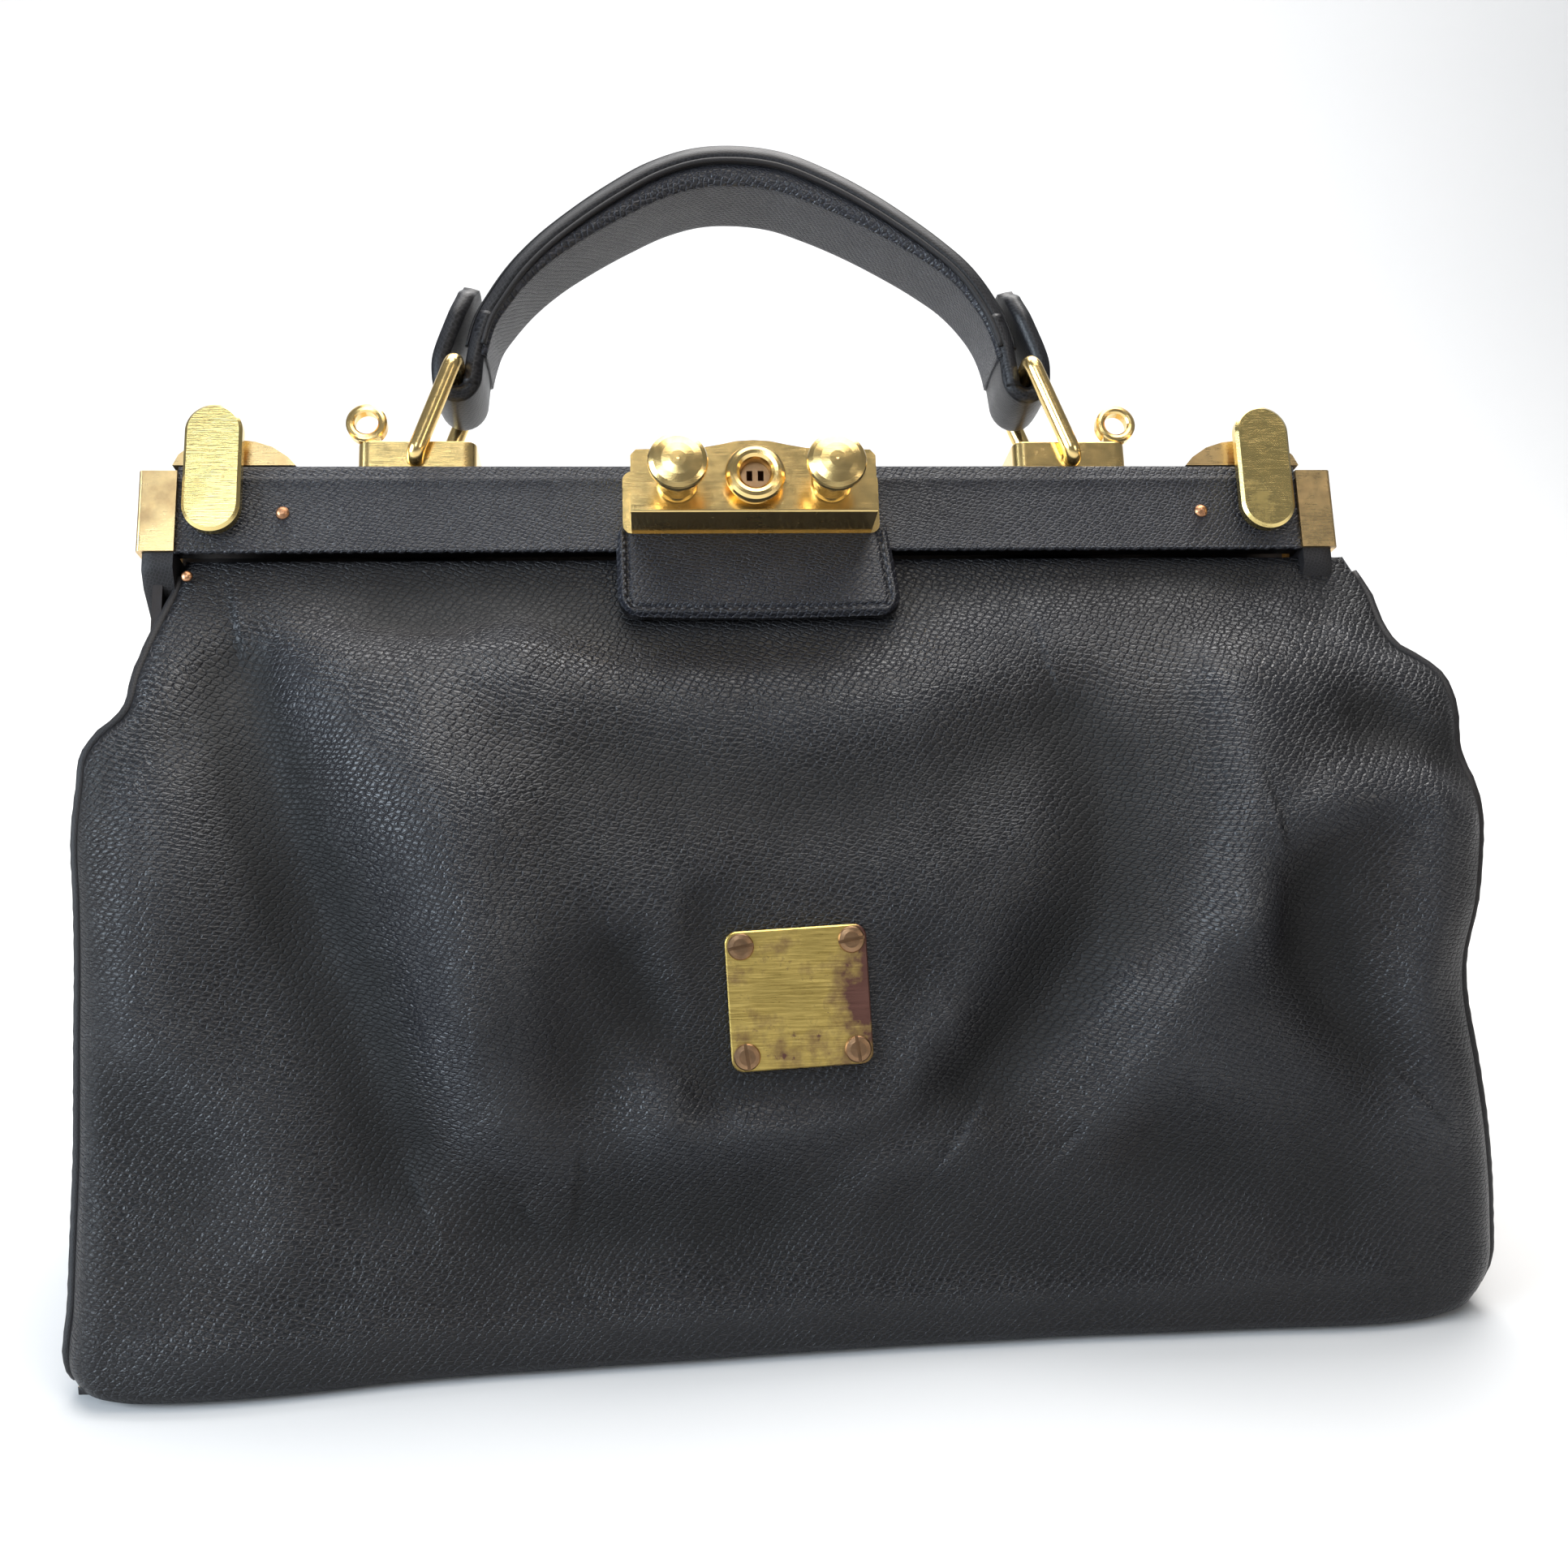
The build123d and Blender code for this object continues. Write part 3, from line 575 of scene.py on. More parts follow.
def creases(x, z):
    """Small wrinkles: bands of short lines running across the compressed leather."""
    out = np.zeros(x.shape)
    spec = [  # centre x, z, half length, half width, direction (deg) of the lines, spacing, depth
        (-141, 156, 15, 11, 4, 4.6, 0.30),
        (-146, 168, 10, 7, 30, 4.4, 0.26),
        (-103, 150, 7, 17, 100, 3.6, 0.34),
        (-94, 122, 8, 18, 104, 3.8, 0.24),
        (-140, 140, 11, 8, 12, 4.2, 0.22),
        (104, 150, 9, 14, 96, 4.2, 0.34),
        (118, 130, 9, 17, 94, 3.8, 0.34),
        (108, 104, 8, 15, 112, 4.2, 0.28),
        (150, 160, 15, 9, -14, 3.6, 0.32),
        (146, 150, 13, 7, 22, 4.0, 0.34),
        (150, 138, 15, 6, 18, 4.2, 0.24),
        (-60, 160, 24, 7, -6, 5.0, 0.14),
        (70, 162, 20, 6, 16, 4.6, 0.18),
        (-150, 184, 12, 5, 8, 3.2, 0.22),
        (150, 183, 12, 5, -12, 3.4, 0.2),
    ]
    for k, (cx, cz, hl, hw, ang, sp, dep) in enumerate(spec):
        c, s = math.cos(math.radians(ang)), math.sin(math.radians(ang))
        u = (x - cx) * c + (z - cz) * s
        v = -(x - cx) * s + (z - cz) * c
        w = v + 1.3 * noise2(x, z, 9.0, 50 + k) + 0.6 * noise2(x, z, 4.0, 70 + k)
        g = np.exp(-(u / hl) ** 4 - (v / (hw * 1.0)) ** 4)
        m = 0.5 + 0.5 * noise2(x * 1.0, z, 8.0, 90 + k)
        wave = np.abs(np.sin(math.pi * w / sp)) ** 0.7 - 0.6
        out += dep * g * m * wave
    return out


def front_raw(x, z):
    d = np.zeros(x.shape)
    for pts, amp, wl, wr, a0, a1 in FOLDS:
        d += 1.4 * ridge(x, z, pts, amp, wl, wr, a0, a1)
    d += rise(x, z, [(-116, 172), (-110, 160), (-103, 146), (-96, 132), (-89, 113), (-85, 95), (-79, 76), (-70, 56), (-62, 44)], 17.0, 12.0, 55, 46, 168)
    d += rise(x, z, [(-74, 150), (-66, 135), (-60, 118), (-58, 103), (-60, 88)], 3.6, 6.0, 34, 92, 142)
    d += rise(x, z, [(114, 172), (118, 157), (119, 138), (116, 119), (108, 101), (99, 85), (88, 68), (80, 58)], 12.5, 9.5, 26, 58, 166)
    d += 1.3 * noise2(x, z, 46.0, 3) + 0.7 * noise2(x, z, 21.0, 4)
    # the middle of the sheet sags a little below the shoulder line
    d += 2.4 * np.exp(-((x - 10) / 90) ** 2 - ((z - 66) / 42) ** 2)
    return d


def front_disp(x, z):
    d = front_raw(x, z)
    c = float(front_raw(np.array([7.7]), np.array([88.8]))[0])
    d -= c * np.exp(-((x - 7.7) / 80) ** 2 - ((z - 88.8) / 62) ** 2)
    # flat where it goes behind the frame, at the base, and under the plate
    d *= smooth(192, 170, z)
    d *= 0.15 + 0.85 * smooth(0, 24, z)
    pl = np.exp(-((x - 7.7) / 27) ** 8 - ((z - 88.8) / 27) ** 8)
    d = d * (1 - pl) - 0.3 * pl
    tb = np.exp(-((x + 1) / 42) ** 6 - ((z - 183) / 19) ** 4)
    d *= 1 - 0.8 * tb
    d += creases(x, z) * (1 - pl) * smooth(190, 180, z)
    return d


NZ, NX = ((215, 372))
zz = 1.2 + np.concatenate([[0.0], np.linspace(0, 189.8, NZ - 1)[1:], [189.8]])[:NZ]
uu = np.linspace(0, 1, NX)
U, Z = np.meshgrid(uu, zz, indexing="ij")
XL, XR = interp(Z, XLZ, XLX), interp(Z, XRZ, XRX)
X = XL + (XR - XL) * U
RC = interp(Z, [0, 20, 60, 110, 145, 170, 191], [9, 10, 8.5, 8, 7, 4.5, 3.0])   # radius the edge is rolled to
back = np.zeros_like(X)
for sgn, edge in ((1, XL), (-1, XR)):
    dd = np.clip(RC * 1.0 - sgn * (X - edge), 0, RC)
    back += RC - np.sqrt(np.maximum(RC ** 2 - dd ** 2 * 0.97, 0))
D = front_disp(X, Z)
edge_fade = smooth(0, 16, X - XL) * smooth(0, 16, XR - X)
D = D * (0.35 + 0.65 * edge_fade)
YB = interp(Z, FZ, FY)
slope = np.gradient(interp(zz, FZ, FY), zz)
ny = -1 / np.sqrt(1 + slope ** 2)
nz = slope / np.sqrt(1 + slope ** 2)
YB = YB + back
# the bottom line of the front is slightly bowed: the left end comes forward, the right end tucks under
bow = interp(X[:, 0:1], [-170, -143, -119, -90, -51, -2, 71, 119, 164, 186], [-9.5, -11.5, -10.4, -6.6, -4.0, -1.2, 1.4, 1.6, 2.2, 7])
YB = YB + bow * smooth(60, 0, Z)
P = np.stack([X, YB + D * ny[None, :], Z + D * nz[None, :] * 0.8], -1)
P[..., 2] = np.maximum(P[..., 2], 0.9)
P[:, 0, 2] = 0.9
# the lowest edge rolls under the base
for k, (dy, dz) in enumerate([(5.0, 0.35), (2.2, 0.7), (0.7, 1.6)]):
    P[:, k, 1] += dy
    P[:, k, 2] = dz + 0.2
# lift the roll in at both lower corners
cl = smooth(-150, -170, P[..., 0]) * smooth(14, 0, Z)
cr = smooth(168, 184, P[..., 0]) * smooth(16, 0, Z)
P[..., 2] += 3.0 * cl + 2.0 * cr
UV = np.stack([X * MM, Z * 1.08 * MM], -1)
MATS = [M_LEATHER, M_LINING, M_EDGE]
front = sheet("leather_front", P, UV, [M_FRONT, M_LINING, M_EDGE], 2.2)


def shade_and_wear_values(ob, H):
    """Height above the neighbourhood, about -1 in the creases to 1 on the raised folds; it drives painted shade in the
    creases, a painted highlight on the folds, and the roughness.
    """
    at = ob.data.attributes.new("relief", "FLOAT", "POINT")
    at.data.foreach_set("value", np.concatenate([H.ravel(), H.ravel()]).astype(np.float32))


def local_height(Dm, k):
    """Height minus its blurred self."""
    B = Dm.copy()
    for _ in range(3):
        for ax in (0, 1):
            pad = [(0, 0), (0, 0)]
            pad[ax] = (k, k)
            c = np.cumsum(np.pad(B, pad, mode="edge"), axis=ax)
            z0 = np.take(c, [0], axis=ax) * 0
            c = np.concatenate([z0, c], axis=ax)
            n_ = B.shape[ax]
            B = (np.take(c, range(2 * k + 1, 2 * k + 1 + n_), axis=ax) - np.take(c, range(0, n_), axis=ax)) / (2 * k + 1)
    return Dm - B


GX = np.gradient(D, axis=0) / np.maximum(np.gradient(X, axis=0), 1e-6)
# local fold height, used for the painted shade and highlight on the front leather and for its roughness
LH = np.clip(local_height(D, 14) / 2.6, -1, 1)
shade_and_wear_values(front, LH)
FRONT_EDGE_L = P[0].copy()
FRONT_EDGE_R = P[-1].copy()

# ------------------------------------------------------------------ rear panel
RZ = [0, 10, 45, 90, 130, 155, 170, 176.5]
RY = [78.2, 78.2, 74.5, 66, 55, 43.5, 36.0, 33.0]
BZ, BXN = (60, 110)
zz2 = np.linspace(0.9, 176.5, BZ)
U2, Z2 = np.meshgrid(np.linspace(0, 1, BXN), zz2, indexing="ij")
RXL = interp(Z2, [0, 20, 60, 120, 150, 177], [-170, -171, -168, -166, -160, -152])
RXR = interp(Z2, [0, 20, 60, 120, 150, 177], [178, 179, 176, 176, 172, 158])
X2 = RXR + (RXL - RXR) * U2
RC2 = interp(Z2, [0, 60, 130, 177], [9, 8.5, 8, 4])
back2 = np.zeros_like(X2)
for sgn, edge in ((1, RXL), (-1, RXR)):
    dd = np.clip(RC2 - sgn * (X2 - edge), 0, RC2)
    back2 += RC2 - np.sqrt(np.maximum(RC2 ** 2 - dd ** 2 * 0.97, 0))
Y2 = interp(Z2, RZ, RY)
D2 = np.zeros_like(X2)
for pts, amp, wl, wr, a0, a1 in [
    ([(-120, 160), (-104, 130), (-94, 96), (-84, 60)], 4.0, 12, 16, 0.7, 0.8),
    ([(116, 162), (112, 128), (100, 96), (90, 60)], 4.2, 16, 12, 0.8, 0.8),
    ([(-100, 150), (-40, 138), (30, 140), (100, 152)], 2.2, 14, 14, 0.8, 0.8),
    ([(-60, 100), (-20, 74), (30, 70), (70, 96)], 2.4, 16, 16, 0.8, 0.8),
    ([(150, 120), (146, 90), (150, 60)], -3.0, 12, 12, 0.8, 0.8),
    ([(-146, 126), (-140, 96), (-146, 60)], -2.6, 12, 12, 0.8, 0.8),
]:
    D2 += ridge(X2, Z2, pts, amp, wl, wr, a0, a1)
D2 += 1.2 * noise2(X2, Z2, 44, 8) + 0.5 * noise2(X2, Z2, 19, 9)
D2 *= smooth(177, 156, Z2) * (0.1 + 0.9 * smooth(0, 25, Z2)) * (0.3 + 0.7 * smooth(0, 16, X2 - RXL) * smooth(0, 16, RXR - X2))
P2 = np.stack([X2, Y2 - back2 + D2, Z2 + D2 * 0.15], -1)
P2[:, 0, 1] -= 4.6
P2[:, 0, 2] = 0.5
P2[:, 1, 2] = 1.6
P2[:, 1, 1] -= 0.5
rear = sheet("leather_rear", P2, np.stack([X2 * MM + 0.7, Z2 * 1.05 * MM], -1), MATS, 2.2)
REAR_EDGE_L = P2[-1].copy()
REAR_EDGE_R = P2[0].copy()


# ------------------------------------------------------------------ gussets: folded in towards the frame
def gusset(name, fe, re, side, seed):
    n, m = 64, 72
    zt = np.linspace(1.2, 176.0, n)
    F = np.stack([np.interp(zt, fe[:, 2], fe[:, k]) for k in range(3)], -1)
    R = np.stack([np.interp(zt, re[:, 2], re[:, k]) for k in range(3)], -1)
    F[:, 2] = zt
    R[:, 2] = zt
    T = np.linspace(0, 1, m)
    depth = interp(zt, [0, 30, 70, 105, 130, 150, 165, 180], [0.5, 2.5, 8, 17, 26, 27, 22, 18])
    G = np.zeros((n, m, 3))
    for i in range(n):
        a, b = F[i], R[i]
        v = 1 - np.abs(2 * T - 1.0)
        prof = v ** 1.25 * (1 - 0.12 * v)
        # belly beside the fold
        belly = np.sin(math.pi * np.clip(v * 1.0, 0, 1)) * (2.6 - 2.0 * smooth(90, 150, zt[i]))
        G[i, :, 0] = a[0] + (b[0] - a[0]) * T - side * depth[i] * prof + side * belly
        G[i, :, 1] = a[1] + (b[1] - a[1]) * T
        G[i, :, 2] = zt[i]
    tt, zg = np.meshgrid(T, zt)
    w = np.sin(math.pi * tt)
    G[..., 0] += side * w * (1.3 * noise2(tt * 150, zg, 34, seed) + 0.5 * noise2(tt * 150, zg, 15, seed + 1))
    G[..., 2] += w * 0.8 * noise2(tt * 150, zg, 40, seed + 2)
    G[..., 0] -= side * 0.6
    # tuck the ends of the sheet just inside the rolled edges of the panels
    G[:, 0, 1] -= 0.5
    G[:, -1, 1] += 0.5
    uv = np.stack([tt * 0.145 + 0.31, zg * MM], -1)
    if side > 0:
        G, uv = G[:, :, :], uv
        A = np.transpose(G, (1, 0, 2))
        B = np.transpose(uv, (1, 0, 2))
    else:
        A = np.transpose(G[:, ::-1], (1, 0, 2))
        B = np.transpose(uv[:, ::-1], (1, 0, 2))
    return sheet(name, A, B, MATS, 1.8)


gus_l = gusset("leather_gusset_left", FRONT_EDGE_L, REAR_EDGE_L, -1, 21)
gus_r = gusset("leather_gusset_right", FRONT_EDGE_R, REAR_EDGE_R, 1, 31)


def tube(name, pts, ra, rb, nrm, mats, seg=8, capped=True, closed=False, uvoff=0.0):
    """An elliptical cord along pts. nrm: direction of the ra axis at each point."""
    pts = np.asarray(pts, float)
    nrm = np.asarray(nrm, float)
    if nrm.ndim == 1:
        nrm = np.tile(nrm, (len(pts), 1))
    T = np.gradient(pts, axis=0)
    T /= np.maximum(np.linalg.norm(T, axis=1, keepdims=True), 1e-9)
    A = nrm - (nrm * T).sum(1, keepdims=True) * T
    A /= np.maximum(np.linalg.norm(A, axis=1, keepdims=True), 1e-9)
    B = np.cross(T, A)
    ra = np.broadcast_to(np.asarray(ra, float), (len(pts),))
    rb = np.broadcast_to(np.asarray(rb, float), (len(pts),))
    L = np.r_[0, np.cumsum(np.linalg.norm(np.diff(pts, axis=0), axis=1))]
    V, F, UVc = [], [], []
    for i in range(len(pts)):
        for s in range(seg):
            th = 2 * math.pi * s / seg
            V.append(pts[i] + A[i] * ra[i] * math.cos(th) + B[i] * rb[i] * math.sin(th))
            UVc.append((L[i] * MM + uvoff, s / seg * 0.01))
    for i in range(len(pts) - 1):
        for s in range(seg):
            t = (s + 1) % seg
            F.append((i * seg + s, i * seg + t, (i + 1) * seg + t, (i + 1) * seg + s))
    if capped:
        F.append(tuple(range(seg))[::-1])
        F.append(tuple((len(pts) - 1) * seg + s for s in range(seg)))
    ob = new_obj(name, V, F, mats, np.array(UVc))
    fix_normals(ob)
    return ob


# turned seam along each front and rear side edge
def seam(name, edge, side, yoff, z0, z1, r=1.45):
    zt = np.linspace(z0, z1, 90)
    pts = np.stack([np.interp(zt, edge[:, 2], edge[:, 0]) + side * 0.2, np.interp(zt, edge[:, 2], edge[:, 1]) + yoff, zt], -1)
    rr = r * (0.75 + 0.25 * smooth(z1, z1 - 8, zt)) * (1 + 0.05 * np.sin(zt * 1.3))
    return tube(name, pts, rr, rr * 0.9, (side, 0, 0), [M_EDGE], seg=10)


seam_fl = seam("seam_front_left", FRONT_EDGE_L, -1, 0.2, 2.5, 186.0)
seam_fr = seam("seam_front_right", FRONT_EDGE_R, 1, 0.2, 2.5, 186.0)
seam_rl = seam("seam_rear_left", REAR_EDGE_L, -1, -0.4, 2.5, 172.0)
seam_rr = seam("seam_rear_right", REAR_EDGE_R, 1, -0.4, 2.5, 172.0)

# ------------------------------------------------------------------ bottom
def bottom():
    n, m = 90, 34
    u = np.linspace(0, 1, n)
    v = np.linspace(0, 1, m)
    U3, V3 = np.meshgrid(u, v, indexing="ij")
    xl, xr = -165.0, 178.5
    x = xl + (xr - xl) * U3
    bowx = np.interp(x, [-170, -143, -119, -90, -51, -2, 71, 119, 164, 186], [-9.5, -11.5, -10.4, -6.6, -4.0, -1.2, 1.4, 1.6, 2.2, 7])
    y0 = -76.0 + bowx * 0.95
    y1 = np.full_like(x, 75.5)
    y = y0 + (y1 - y0) * V3
    e = np.minimum(np.minimum(x - xl, xr - x), np.minimum(y - y0, y1 - y))
    z = 0.25 + 2.2 * (1 - smooth(0, 9, e)) + 0.15 * (1 + noise2(x, y, 30, 40))
    Pb = np.stack([x, y, z], -1)[:, ::-1]
    return sheet("leather_bottom", Pb, np.stack([x * MM, y * MM + 0.5], -1)[:, ::-1], MATS, 2.0)


bot = bottom()


# ------------------------------------------------------------------ lining: a cloth bag inside, with slack folds
def lining_shell():
    nz, nr = 46, 150
    zl = np.linspace(6.0, 150.0, nz)
    V, F, UVc = [], [], []
    for i, z in enumerate(zl):
        yf = float(interp(z, FZ, FY)) + 8.0 + 9.0 * float(smooth(20, 60, z))
        yr = float(interp(z, RZ, RY)) - 6.5 - 5.0 * float(smooth(20, 60, z))
        hx = 160.0 - 8 * float(smooth(60, 150, z))
        pinch = float(interp(z, [0, 40, 80, 115, 140, 160], [0.0, 2.0, 8, 18, 22, 21]))
        cy, hy = (yf + yr) / 2, (yr - yf) / 2
        for k in range(nr):
            th = 2 * math.pi * k / nr
            c, s = math.cos(th), math.sin(th)
            p = 7.0
            r = (abs(c) ** p + abs(s) ** p) ** (-1 / p)
            x, y = r * c * hx, r * s * hy
            if abs(c) > 0.5:
                x -= math.copysign(pinch * max(0.0, 1 - abs(y) / hy) ** 1.2, x)
            wob = 1.2 * math.sin(th * 17 + z * 0.03) + 0.8 * math.sin(th * 41 - z * 0.05)
            k2 = float(smooth(6, 40, z)) * 0.8
            nx_, ny_ = c, s
            V.append((x - nx_ * (1 + wob) * k2, cy + y - ny_ * (1 + wob) * k2, z))
            UVc.append(((th * 0.11), z * MM))
    for i in range(nz - 1):
        for k in range(nr):
            q = (k + 1) % nr
            F.append((i * nr + k, i * nr + q, (i + 1) * nr + q, (i + 1) * nr + k))
    F.append(tuple(range(nr))[::-1])
    ob = new_obj("lining_cloth", V, F, [M_LINING], np.array(UVc))
    return ob


lin = lining_shell()

# ------------------------------------------------------------------ frame covering
BW = 22.0      # height of the leather on the bar
TB = RT - STRIP


def band_front():
    """Leather pulled over the bar: front face, rounded top edge with a raised bead line, and a raw lower edge."""
    prof = [(-9.0, 52.6), (-10.15, 52.55), (-10.45, 53.0), (-10.2, 53.9), (-10.1, 56), (-10.1, 60), (-10.1, 64), (-10.1, 68), (-10.1, 71.2),
            (-10.35, 72.2), (-10.45, 72.9), (-10.1, 73.5), (-9.75, 73.8), (-9.6, 74.3), (-9.5, 75.6), (-9.2, 76.8), (-8.2, 77.42), (-6.5, 77.5), (-3.5, 77.5)]
    L = np.r_[0, np.cumsum(np.hypot(*np.diff(np.array(prof), axis=0).T))]
    n = 340
    xs = np.linspace(-150.4, 150.4, n)
    Vv = np.zeros((n, len(prof), 3))
    uv = np.zeros((n, len(prof), 2))
    for i, x in enumerate(xs):
        for j, (y, z) in enumerate(prof):
            wob = 0.10 * math.sin(x * 0.21 + j) + 0.05 * math.sin(x * 0.9)
            yy = y + (wob * 0.5 if 3 < j < 9 else 0)
            zz_ = z + ((0.16 * math.sin(x * 2.4) + 0.1 * math.sin(x * 5.7)) if j in (0, 1, 2) else 0)
            Vv[i, j] = (x, yy, zz_)
            uv[i, j] = (x * MM, L[j] * MM)
    W = l2w(Vv)
    return sheet("band_front", W, uv, [M_BAND, M_EDGE, M_EDGE], 0.6)


def band_rear():
    prof = [(8.0, 77.5), (22.0, 77.5), (27.4, 77.4), (28.2, 76.9), (28.5, 75.6), (28.6, 70), (28.6, 64), (28.6, 58), (28.7, 53.4), (28.2, 52.7), (27.2, 52.6)]
    L = np.r_[0, np.cumsum(np.hypot(*np.diff(np.array(prof), axis=0).T))]
    n = 200
    xs = np.linspace(-150.4, 150.4, n)
    Vv = np.zeros((n, len(prof), 3))
    uv = np.zeros((n, len(prof), 2))
    for i, x in enumerate(xs):
        for j, (y, z) in enumerate(prof):
            Vv[i, j] = (x, y + 0.06 * math.sin(x * 0.3 + j), z)
            uv[i, j] = (x * MM, L[j] * MM + 0.2)
    W = l2w(Vv)
    return sheet("band_rear", W, uv, [M_BAND, M_EDGE, M_EDGE], 0.6)


bf, br = band_front(), band_rear()

# thin light thread of the raw lower edge, catching the light
zline = np.array([l2w((x, -10.35 + 0.05 * math.sin(x), 53.1)) for x in np.linspace(-150, 150, 400)])
edge_line = stitches("band_edge_stitch", zline, np.tile(l2w((0, -1, 0)) - l2w((0, 0, 0)), (400, 1)), 1.25, 0.55, 0.34, M_THREAD2)


# ------------------------------------------------------------------ tab under the lock
def tab():
    n, m = 260, 120
    # local outline: straight top, rounded lower corners, right side leaning out
    top_z, bot_z = 58.0, 33.0
    V = np.linspace(0, 1, m)
    S = np.linspace(-1, 1, n)
    Pm = np.zeros((n, m, 3))
    uv = np.zeros((n, m, 2))
    for j, t in enumerate(V):
        z = bot_z + (top_z - bot_z) * t
        r = 6.5
        k = max(0.0, r - (z - bot_z))
        inset = r - math.sqrt(max(r * r - k * k, 0.0))
        xl = -36.2 + 0.5 * (1 - t) + inset
        xr = 36.8 + 2.2 * (1 - t) - inset
        for i, s in enumerate(S):
            x = xl + (xr - xl) * (s + 1) / 2
            zb = z - 0.9 * math.cos(math.pi * 0.5 * (x / 38)) * (1 - t) * 0.9
            y = -10.7 - 4.9 * (1 - t) ** 1.25 - 1.0 * math.sin(math.pi * min(1, max(0, (1 - t)))) * (1 - (x / 39) ** 2)
            ed = min(x - xl, xr - x, (z - bot_z))
            y += 1.25 * math.exp(-(max(ed, 0) / 0.8) ** 2)          # rounded rim
            y -= 0.55 * math.exp(-((ed - 1.5) / 0.8) ** 2)           # raised border
            y += 0.65 * math.exp(-((ed - 2.9) / 0.6) ** 2)           # stitched groove
            Pm[i, j] = (x, y, zb)
            uv[i, j] = (x * MM, z * MM + 0.1)
    W = l2w(Pm)
    ob = sheet("tab_leather", W, uv, [M_BAND, M_EDGE, M_EDGE], 3.0)
    # stitching round the rim
    pts = []
    for a in np.linspace(56, bot_z + 6.5, 30):
        pts.append((-36.2 + 2.1 + 0.5 * (56 - a) / 24, a))
    for th in np.linspace(0, math.pi / 2, 12)[1:]:
        pts.append((-29.3 + 2.1 - 2.1 - 6.5 * math.cos(th) * 0.68 + 0.3, bot_z + 6.5 - 4.4 * math.sin(th)))
    for x in np.linspace(-27, 31, 60):
        pts.append((x, bot_z + 2.1))
    for th in np.linspace(math.pi / 2, 0, 12)[1:]:
        pts.append((32.3 + 4.4 * math.cos(th), bot_z + 6.5 - 4.4 * math.sin(th)))
    for a in np.linspace(bot_z + 7, 56, 30):
        pts.append((36.6 - 0.0 - 2.0 * (a - bot_z) / 24, a))
    out = []
    for x, z in pts:
        t = (z - bot_z) / (top_z - bot_z)
        zb = z - 0.9 * math.cos(math.pi * 0.5 * (x / 38)) * (1 - t) * 0.9
        y = -10.7 - 4.9 * (1 - t) ** 1.25 - 1.0 * math.sin(math.pi * (1 - t)) * (1 - (x / 39) ** 2) + 0.22
        out.append(lw((x, y, zb)))
    nn = np.array(l2w((0, -1, 0)) - l2w((0, 0, 0)))
    st = stitches("tab_stitch", resample(out, 300), np.tile(nn, (300, 1)), 1.7, 0.8, 0.62, M_THREAD2, height=0.7)
    return ob, st


tab_o, tab_st = tab()


# ------------------------------------------------------------------ handle: two straps over a padded core
def arch_points():
    """Centre line of the grip, frame-plane (x, z), from the left fold to the right fold."""
    left = [(-75.4, 104.5), (-74.6, 111), (-73.4, 118), (-71.6, 124.5), (-67.9, 131.2), (-62.8, 138.8), (-55.6, 146.9), (-46.0, 155.3), (-35.4, 163.2), (-24.0, 170.2), (-12.0, 174.4)]
    right = [(12.0, 173.4), (23.5, 168.6), (34.5, 162.4), (45.2, 155.0), (54.8, 147.4), (62.4, 140.2), (67.8, 132.6), (71.6, 125), (73.6, 118), (74.6, 111), (75.4, 104.5)]
    return resample(left + [(0.0, 175.2)] + right, 150)


def strap(name, cl, width, thick, crown, groove, mats, ymid=9.0, taper=None, uvo=0.0, tk=None):
    """A crowned strap: section across the width (y) and through the thickness (in the x-z plane)."""
    cl = np.asarray(cl, float)
    T = np.gradient(cl, axis=0)
    T /= np.linalg.norm(T, axis=1, keepdims=True)
    Nn = np.stack([-T[:, 1], T[:, 0]], -1)        # outward
    L = np.r_[0, np.cumsum(np.linalg.norm(np.diff(cl, axis=0), axis=1))]
    sec = []
    k = 22
    for q in range(k + 1):                        # outer side, rear to front
        s = 1 - 2 * q / k
        h = thick / 2 + crown * (1 - s * s) - groove * math.exp(-((abs(s) - 0.80) / 0.05) ** 2)
        rim = max(0.0, abs(s) - 0.90) / 0.10
        h -= rim ** 2 * thick * 0.42
        sec.append((s, h))
    for q in range(k + 1):
        s = -1 + 2 * q / k
        h = -thick / 2 - 0.25 * crown * (1 - s * s)
        rim = max(0.0, abs(s) - 0.90) / 0.10
        h += rim ** 2 * thick * 0.42
        sec.append((s, h))
    m = len(sec)
    V, F, UVc = [], [], []
    for i in range(len(cl)):
        w = width / 2 * (taper[i] if taper is not None else 1.0)
        g = tk[i] if tk is not None else 1.0
        for (s, h) in sec:
            h = h * g
            x, z = cl[i] + Nn[i] * h
            V.append((x, ymid - s * -w if False else ymid + s * w, z))
            UVc.append((L[i] * MM + uvo, (s * w + h) * MM))
    n = len(cl)
    for i in range(n - 1):
        for j in range(m):
            q = (j + 1) % m
            F.append((i * m + j, i * m + q, (i + 1) * m + q, (i + 1) * m + j))
    F.append(tuple(range(m))[::-1])
    F.append(tuple((n - 1) * m + j for j in range(m)))
    ob = new_obj(name, l2w(np.array(V)), F, mats, np.array(UVc))
    fix_normals(ob)
    return ob


cl = arch_points()
tt_ = np.linspace(0, 1, len(cl))
tap = 0.93 + 0.08 * np.sin(math.pi * tt_) ** 0.8 - 0.05 * np.exp(-((tt_ - 0.10) / 0.05) ** 2) - 0.05 * np.exp(-((tt_ - 0.90) / 0.05) ** 2)
grip = strap("handle_grip", cl, 25.0, 4.6, 2.3, 0.0, [M_HANDLE], taper=tap, tk=0.78 + 0.30 * np.sin(math.pi * tt_))
